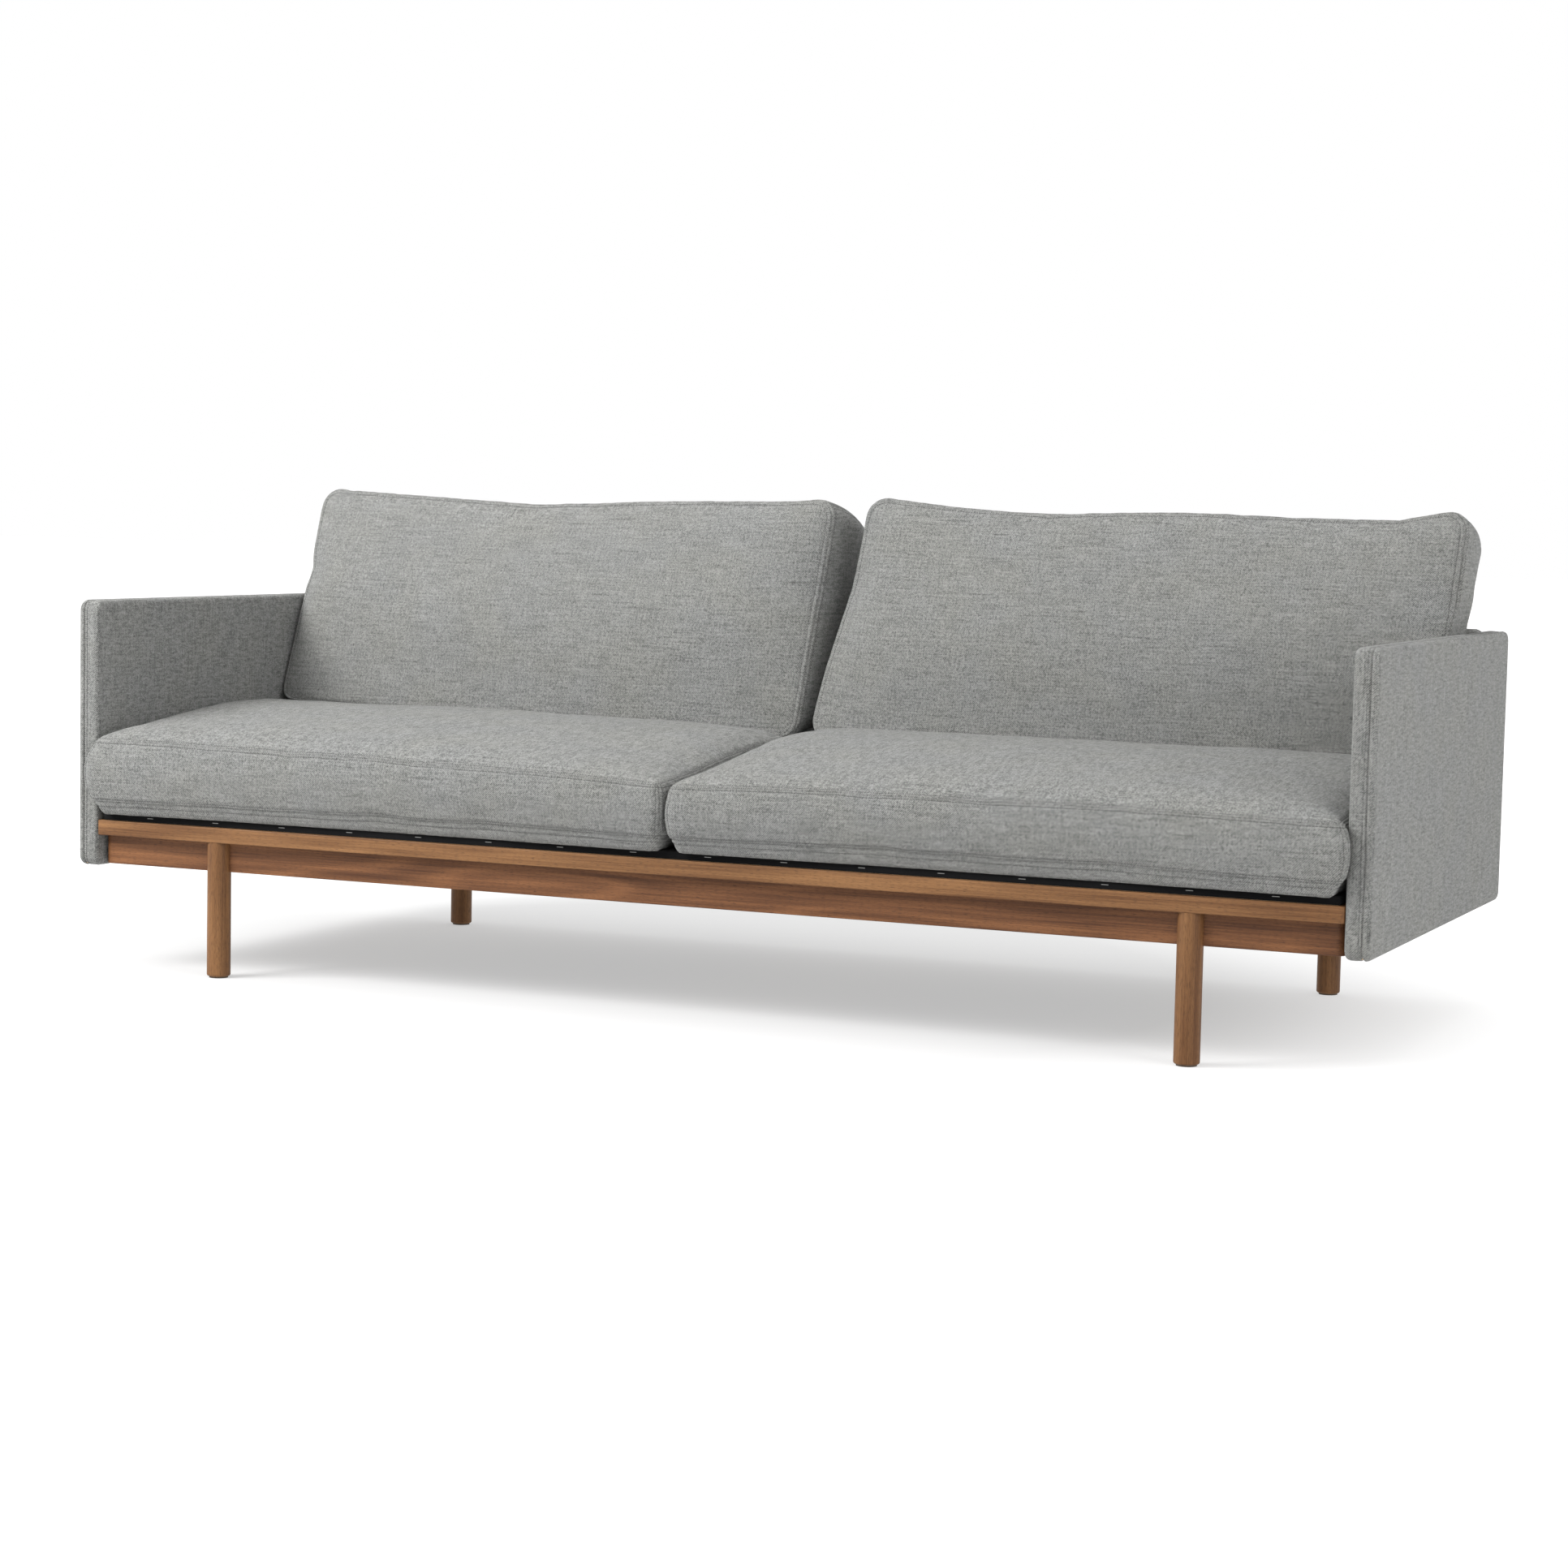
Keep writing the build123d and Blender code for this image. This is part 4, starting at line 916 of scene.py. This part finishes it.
def shape_back(side_name):
    """A back cushion that leans on the back panel and stands on the seat cushion."""
    side = SIDES[side_name]
    inner, outer = MEETING, high("back_cushion_cover_right").x
    width = outer - inner
    height = BACK_RISE / math.cos(BACK_LEAN)
    centre_x = side * (inner + outer) / 2

    def place(u, v, level, lift):
        t = v / height + 0.5
        outward = side * u / (width / 2)
        front_y = BACK_FOOT[0] + BACK_RISE * math.tan(BACK_LEAN) * t + BACK_TWIST * outward
        sag = BACK_SAG * np.clip(1 - np.abs(outward) ** 3, 0, 1) * np.clip(1 - t, 0, 1)
        front_y = front_y - sag
        front_z = BACK_FOOT[1] + BACK_RISE * t - sink(side_name, centre_x + u) * np.clip(1 - t, 0, 1)
        rear_y = BACK_REAR_FOOT[0] + BACK_REAR_RUN * np.clip(t, 0, 1.2) ** 2.4
        rear_z = BACK_REAR_FOOT[1] + BACK_REAR_RISE * t
        blend = (level + 1) / 2
        y = rear_y + (front_y - rear_y) * blend - lift * math.cos(BACK_LEAN) * np.sign(level)
        z = rear_z + (front_z - rear_z) * blend + lift * math.sin(BACK_LEAN) * np.sign(level)
        ear = BACK_EAR * np.abs(2 * u / width) ** 4 - 3 * MM
        z = z + (ear + 3 * MM * np.sin(11.0 * u / width + side)) * ramp(t, 0.6, 1.0)
        foot, top = BACK_SHIFT[side_name]
        shift = (foot + (top - foot) * ramp(t, 0.0, 1.0)) * (0.6 - 0.4 * outward)
        return np.stack([centre_x + u + shift + 0 * y, y, z], -1)

    def crown(u, v):
        t = np.clip(v / height + 0.5, 0, 1)
        across = 1 - np.abs(2 * u / width) ** 3.0
        along = (1 - (1 - t) ** 3.4) * (1 - t ** 1.8) * 1.4
        front = BACK_CROWN * np.clip(across * along, 0, 1) ** 0.7
        rear = BACK_REAR_CROWN * np.clip(across * (1 - np.abs(2 * v / height) ** 2.4), 0, 1) ** 0.8
        return front, rear

    pad = Pad("back_cushion_" + side_name, (width, height, BACK_THICK), BACK_CORNER, 14 * MM, place,
              crown, 9 * MM)
    pad.inflate(3.0, 16 * MM, (0.1, 0.9, 0.4), bending=3.0, calm_below=BACK_FOOT[1] + 20 * MM,
                calm_reach=0.2)

    def settle(points):
        x, y, z = np.moveaxis(points, -1, 0)
        widest = outer + 2 * MM + BACK_SWELL * ramp(z, PANEL_TOP, BACK_SWELL_TOP)
        reach = np.clip(side * x, inner + MEETING_CLEAR, widest)
        y = np.where(z < PANEL_TOP + 4 * MM, np.minimum(y, PANEL_FACE - PANEL_CLEAR), y)
        seat = pressed(y, sink(side_name, x)) + BACK_CLEAR
        z = np.maximum(z, seat + BACK_LIFT * ramp(y, *BACK_LIFT_SPAN))
        return np.stack([side * reach, y, z], -1)

    pad.adjust(settle)
    return pad


ZIP_PITCH = 2.0 * MM
BRICK = ((0, 2, 3, 1), (4, 5, 7, 6), (0, 1, 5, 4), (2, 6, 7, 3), (0, 4, 6, 2), (1, 3, 7, 5))


def zip_chain(name, node, body, facing):
    """Two rows of coil teeth on a narrow tape, inside the CAD chain's own box."""
    a, b = low(node), high(node)
    span = b - a
    wide, thin = (2, 1) if facing == "y" else (1, 2)
    points, faces = [], []

    def brick(start, along, width, thickness):
        """A block from a corner, its thickness counted from the tape's own side of the box."""
        size = Vector((along, 0, 0))
        size[wide], size[thin] = width, thickness
        if facing == "z":
            start[thin] = b[thin] - thickness - (start[thin] - a[thin])
        faces.extend([len(points) + i for i in face] for face in BRICK)
        points.extend([start[i] + size[i] * (k >> i & 1) for i in range(3)] for k in range(8))

    brick(a.copy(), span.x, span[wide], span[thin] * 0.4)
    for i in range(int(span.x / ZIP_PITCH)):
        for row, across in enumerate((0.14, 0.46)):
            corner = a.copy()
            corner.x += (i + 0.5 * row) * ZIP_PITCH + 0.2 * MM
            corner[wide] += span[wide] * across
            if facing == "z":
                corner[thin] += span[thin] * 0.05
            brick(corner, ZIP_PITCH * 0.45, span[wide] * 0.40, span[thin] * 0.9)
    obj = make_object(name, points, faces, materials["zip"], smooth=False)
    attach(obj, body)
    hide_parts(node)


# ---- arms and back panel

EDGE_SOFT = 8 * MM  # radius of the panels' rounded edges
WELT_AT = 12 * MM  # the seam's distance from the outer face
WELT_STITCH = 5 * MM  # and the stitches' distance from the seam
UNDER_WRAP = 3 * MM  # the fabric's turn under the boards
PANEL_CORNER = 18 * MM


def shape_panel(name, width, height, thick, place):
    """A thin padded panel with soft edges; place(u, v, w) puts its points, w across its thickness."""
    pad = Pad(name, (width, height, thick), PANEL_CORNER, 16 * MM,
              lambda u, v, level, lift: place(u, v, level * thick / 2), lambda u, v: (0.0, 0.0), 0.0)
    pad.refine(FINE_CELL)
    u, v = pad.flat()
    near = np.clip(EDGE_SOFT - pad.inset(), 0, EDGE_SOFT)
    drop = EDGE_SOFT - np.sqrt(EDGE_SOFT ** 2 - near ** 2)
    pad.front = place(u, v, thick / 2 - drop)
    pad.back = place(u, v, -thick / 2 + drop)
    border = pad.ring(np.stack([u, v], -1))
    level = pad.depth / pad.depth[-1]
    flat = thick - 2 * EDGE_SOFT
    pad.strip = np.stack([place(border[:, 0], border[:, 1], (0.5 - t) * flat) for t in level], 1)
    pad.depth = EDGE_SOFT + level * flat
    pad.weld()
    return pad


def finish_panel(pad, node, seed, upright):
    """Padding, the seam round the edge and its stitches, on the sofa's fixed body."""
    front_normal, back_normal, strip_normal = pad.normals()
    calm = ramp(pad.inset(), 0, 40 * MM)
    for grid, normal, offset in ((pad.front, front_normal, 0), (pad.back, back_normal, 9)):
        grid += normal * (swell(grid, seed + offset, 1.1 * MM) * calm)[..., None]
    relief = groove(pad.depth, WELT_AT, 2.8 * MM, 1.6 * MM)
    relief += groove(pad.depth, WELT_AT + WELT_STITCH, 0.8 * MM, 1.3 * MM)
    from_welt = np.broadcast_to(np.abs(pad.depth - WELT_AT), pad.strip.shape[:2])
    wave = puckers(from_welt, pad.strip, seed, 0.4 * MM)
    end = pad.depth[-1]
    fade = ramp(pad.depth, EDGE_SOFT, EDGE_SOFT + 3 * MM) * ramp(-pad.depth, -end, 3 * MM - end)
    pad.strip = pad.strip + strip_normal * (relief + wave * fade)[..., None]
    pad.set_border(pad.front, pad.strip[:, 0])
    pad.set_border(pad.back, pad.strip[:, -1])
    obj = pad.build(materials["twill_upright" if upright else "twill"])
    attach(obj, BODY)
    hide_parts(node)
    place = float(np.interp(WELT_AT + WELT_STITCH, pad.depth, np.arange(len(pad.depth))))
    line = pad.strip_line(WELT_AT + WELT_STITCH)[0]
    stitches = sew_stitches(pad.name + "_stitching", [stitch_row(line, strip_normal[:, int(place)])],
                            materials["thread"])
    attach(stitches, BODY)


def make_arm(side_name):
    side = SIDES[side_name]
    node = "arm_cover_" + side_name
    size, centre = board_cover(node)

    def place(u, v, w):
        x = centre.x + side * w + 0 * u
        return np.stack([x, centre.y + side * u + 0 * x, centre.z + v + 0 * x], -1)

    pad = shape_panel("arm_" + side_name, size.y, size.z, size.x, place)
    finish_panel(pad, node, 3.0 + side, upright=True)


def make_back_panel():
    node = "back_panel_cover"
    size, centre = board_cover(node)

    def place(u, v, w):
        y = centre.y + w + 0 * u
        return np.stack([centre.x - u + 0 * y, y, centre.z + v + 0 * y], -1)

    pad = shape_panel("back_panel", size.x, size.z, size.y, place)
    finish_panel(pad, node, 8.0, upright=False)


def board_cover(node):
    """Size and centre of a CAD cover, with the fabric's turn under its board."""
    a, b = low(node), high(node)
    a.z -= UNDER_WRAP
    return b - a, (a + b) / 2


# ---- deck cloth


def make_deck_cloth():
    """Black cloth drawn over the webbing, its rim turned down over the deck boards' edges."""
    a, b = low("deck_cloth"), high("deck_cloth")
    rim = b.z - a.z
    width, length = b.x - a.x, b.y - a.y
    us = np.linspace(-width / 2 - rim, width / 2 + rim, 220)
    vs = np.linspace(-length / 2 - rim, length / 2 + rim, 100)
    for edge, values in ((width / 2, us), (length / 2, vs)):
        for sign in (-1, 1):
            values[np.argmin(np.abs(values - sign * edge))] = sign * edge
    u, v = np.meshgrid(us, vs, indexing="ij")
    over_u, over_v = np.maximum(np.abs(u) - width / 2, 0), np.maximum(np.abs(v) - length / 2, 0)
    x = np.clip(u, -width / 2, width / 2) + (a.x + b.x) / 2
    y = np.clip(v, -length / 2, length / 2) + (a.y + b.y) / 2
    flat = np.stack([x, y, 0 * x], -1)
    inside = ramp(np.minimum(width / 2 - np.abs(u), length / 2 - np.abs(v)), 0, 50 * MM)
    z = b.z - np.maximum(over_u, over_v) - inside * (0.25 * MM + 0.2 * MM * field(flat, 9.0, 2.0))
    points = np.stack([x, y, z], -1)
    nu, nv = len(us) - 1, len(vs) - 1
    index = np.arange(points.shape[0] * points.shape[1]).reshape(nu + 1, nv + 1)
    quads = grid_quads(index)
    corner = ((over_u > 0) & (over_v > 0)).ravel()
    quads = quads[~corner[quads].any(1)]
    used = np.unique(quads)
    renumber = np.zeros(index.size, int)
    renumber[used] = np.arange(len(used))
    obj = make_object("deck_cloth_sheet", points.reshape(-1, 3)[used], renumber[quads],
                      materials["black_cloth"])
    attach(obj, BODY)
    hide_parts("deck_cloth")


# ---- CAD nodes

FINISHES = {
    "cap_rail_front": "oak_x", "cap_rail_rear": "oak_x", "cap_rail_left": "oak_y", "cap_rail_right": "oak_y",
    "apron_front": "apron_x", "apron_rear": "apron_x", "apron_left": "apron_y", "apron_right": "apron_y",
    "leg_": "oak_z", "foot_glide": "felt", "cross_rail": "pine_y", "corner_blocks": "pine_x",
    "frame_dowels": "pine_x", "back_mount_blocks": "pine_x", "deck_board": "plywood", "arm_board": "plywood",
    "back_panel_board": "plywood", "webbing": "webbing", "deck_staples": "staple", "arm_spacers": "nylon",
    "_bolts": "zinc", "_inserts": "zinc", "bracket": "zinc", "zip_slider": "slider",
}


def dress_cad_nodes():
    """Gives every CAD node that stays its own finish, the longest matching name first."""
    for node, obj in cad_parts.items():
        found = [key for key in sorted(FINISHES, key=len, reverse=True) if key in node]
        if not found:
            continue
        obj.data.materials.clear()
        obj.data.materials.append(materials[FINISHES[found[0]]])
        if found[0] in ("leg_", "foot_glide", "zip_slider"):
            obj.data.polygons.foreach_set("use_smooth", [True] * len(obj.data.polygons))
            edge = obj.modifiers.new("Crisp edges", "EDGE_SPLIT")
            edge.split_angle = math.radians(30)


# ---- room, light and camera


PAINTED_SHADE_CENTRE = -0.32  # x of the middle of the painted shade on the floor, where the floor's glow is dimmest
FLOOR_PAINTED_GLOW = (1.0, 1.9, 0.46, 0.87)  # the floor's painted glow, from one distance to another and from one value to another: dim near the sofa as painted shade, brighter further off
FLOOR_REACH = 40.0


def make_stage():
    s = Shader("pale_floor_painted_glow")
    x, y, z = s.place()
    cloud = s.noise(s.vector(x, y, z), 1.3, 2.0)
    # The floor glows though it is no lamp: its emission is painted light that lifts the shade under the
    # sofa, dimmed around the sofa as painted shade
    s.bsdf.inputs["Emission Color"].default_value = (1, 1, 1, 1)
    east = s.math("SUBTRACT", x, PAINTED_SHADE_CENTRE)
    away = s.math("SQRT", s.math("MULTIPLY_ADD", east, east, s.math("MULTIPLY", y, y)))
    s.feed(s.bsdf.inputs["Emission Strength"], s.range(away, *FLOOR_PAINTED_GLOW))
    floor_material = s.finish(s.mix_colour(cloud, (0.35, 0.35, 0.35, 1), (0.37, 0.37, 0.37, 1)), 0.9,
                              Specular_IOR_Level=0.0)
    corners = [(x * FLOOR_REACH, y * FLOOR_REACH, 0) for x, y in ((-1, -1), (1, -1), (1, 1), (-1, 1))]
    floor = make_object("floor", corners, [(0, 1, 2, 3)], floor_material)
    world = bpy.data.worlds.new("studio")
    world.use_nodes = True
    sky = world.node_tree.nodes["Background"]
    sky.inputs["Color"].default_value = (1, 1, 1, 1)
    sky.inputs["Strength"].default_value = 1.0
    bpy.context.scene.world = world
    add_softbox("key", (-2.6, -2.6, 2.8), (-0.2, 0.0, 0.4), 2.0, 225.0)
    add_softbox("top", (0.3, -0.3, 4.0), (0.0, 0.0, 0.3), 3.4, 40.0)
    add_softbox("fill", (4.2, -1.8, 1.8), (1.0, 0.0, 0.4), 2.2, 60.0)
    bpy.context.scene.view_settings.view_transform = "Standard"


def add_softbox(name, place, target, size, power):
    light = bpy.data.lights.new(name, "AREA")
    light.shape = "SQUARE"
    light.size = size
    light.energy = power
    obj = bpy.data.objects.new(name, light)
    obj.location = place
    obj.rotation_euler = (Vector(target) - Vector(place)).to_track_quat("-Z", "Y").to_euler()
    bpy.context.collection.objects.link(obj)


def make_camera():
    data = bpy.data.cameras.new("camera")
    data.sensor_width = 36.0
    data.lens = CAMERA_LENS
    data.clip_end = 200.0
    camera = bpy.data.objects.new("camera", data)
    yaw, pitch, roll = (math.radians(angle) for angle in (CAMERA_YAW, CAMERA_PITCH, CAMERA_ROLL))
    turn = (Matrix.Rotation(yaw, 4, "Z") @ Matrix.Rotation(math.pi / 2 - pitch, 4, "X")
            @ Matrix.Rotation(roll, 4, "Z"))
    camera.matrix_world = Matrix.Translation(CAMERA_PLACE) @ turn
    bpy.context.collection.objects.link(camera)
    bpy.context.scene.camera = camera


# ---- the whole sofa

materials = make_materials()
dress_cad_nodes()
make_deck_cloth()
for side_name in SIDES:
    make_arm(side_name)
make_back_panel()
for seed, side_name in enumerate(SIDES):
    seat = shape_seat(side_name)
    cover = finish_cushion(seat, side_name, "seat", SEAT_STITCH, (0, 1), 11.0 + seed, 2.2 * MM)
    back = shape_back(side_name)
    cover = finish_cushion(back, side_name, "back", BACK_STITCH, (2, 3), 31.0 + seed, 3.2 * MM)
    zip_chain("seat_zip_" + side_name, "seat_zip_chain_" + side_name, "seat_cushion_" + side_name, "y")
    zip_chain("back_zip_" + side_name, "back_zip_chain_" + side_name, "back_cushion_" + side_name, "z")
make_stage()
make_camera()
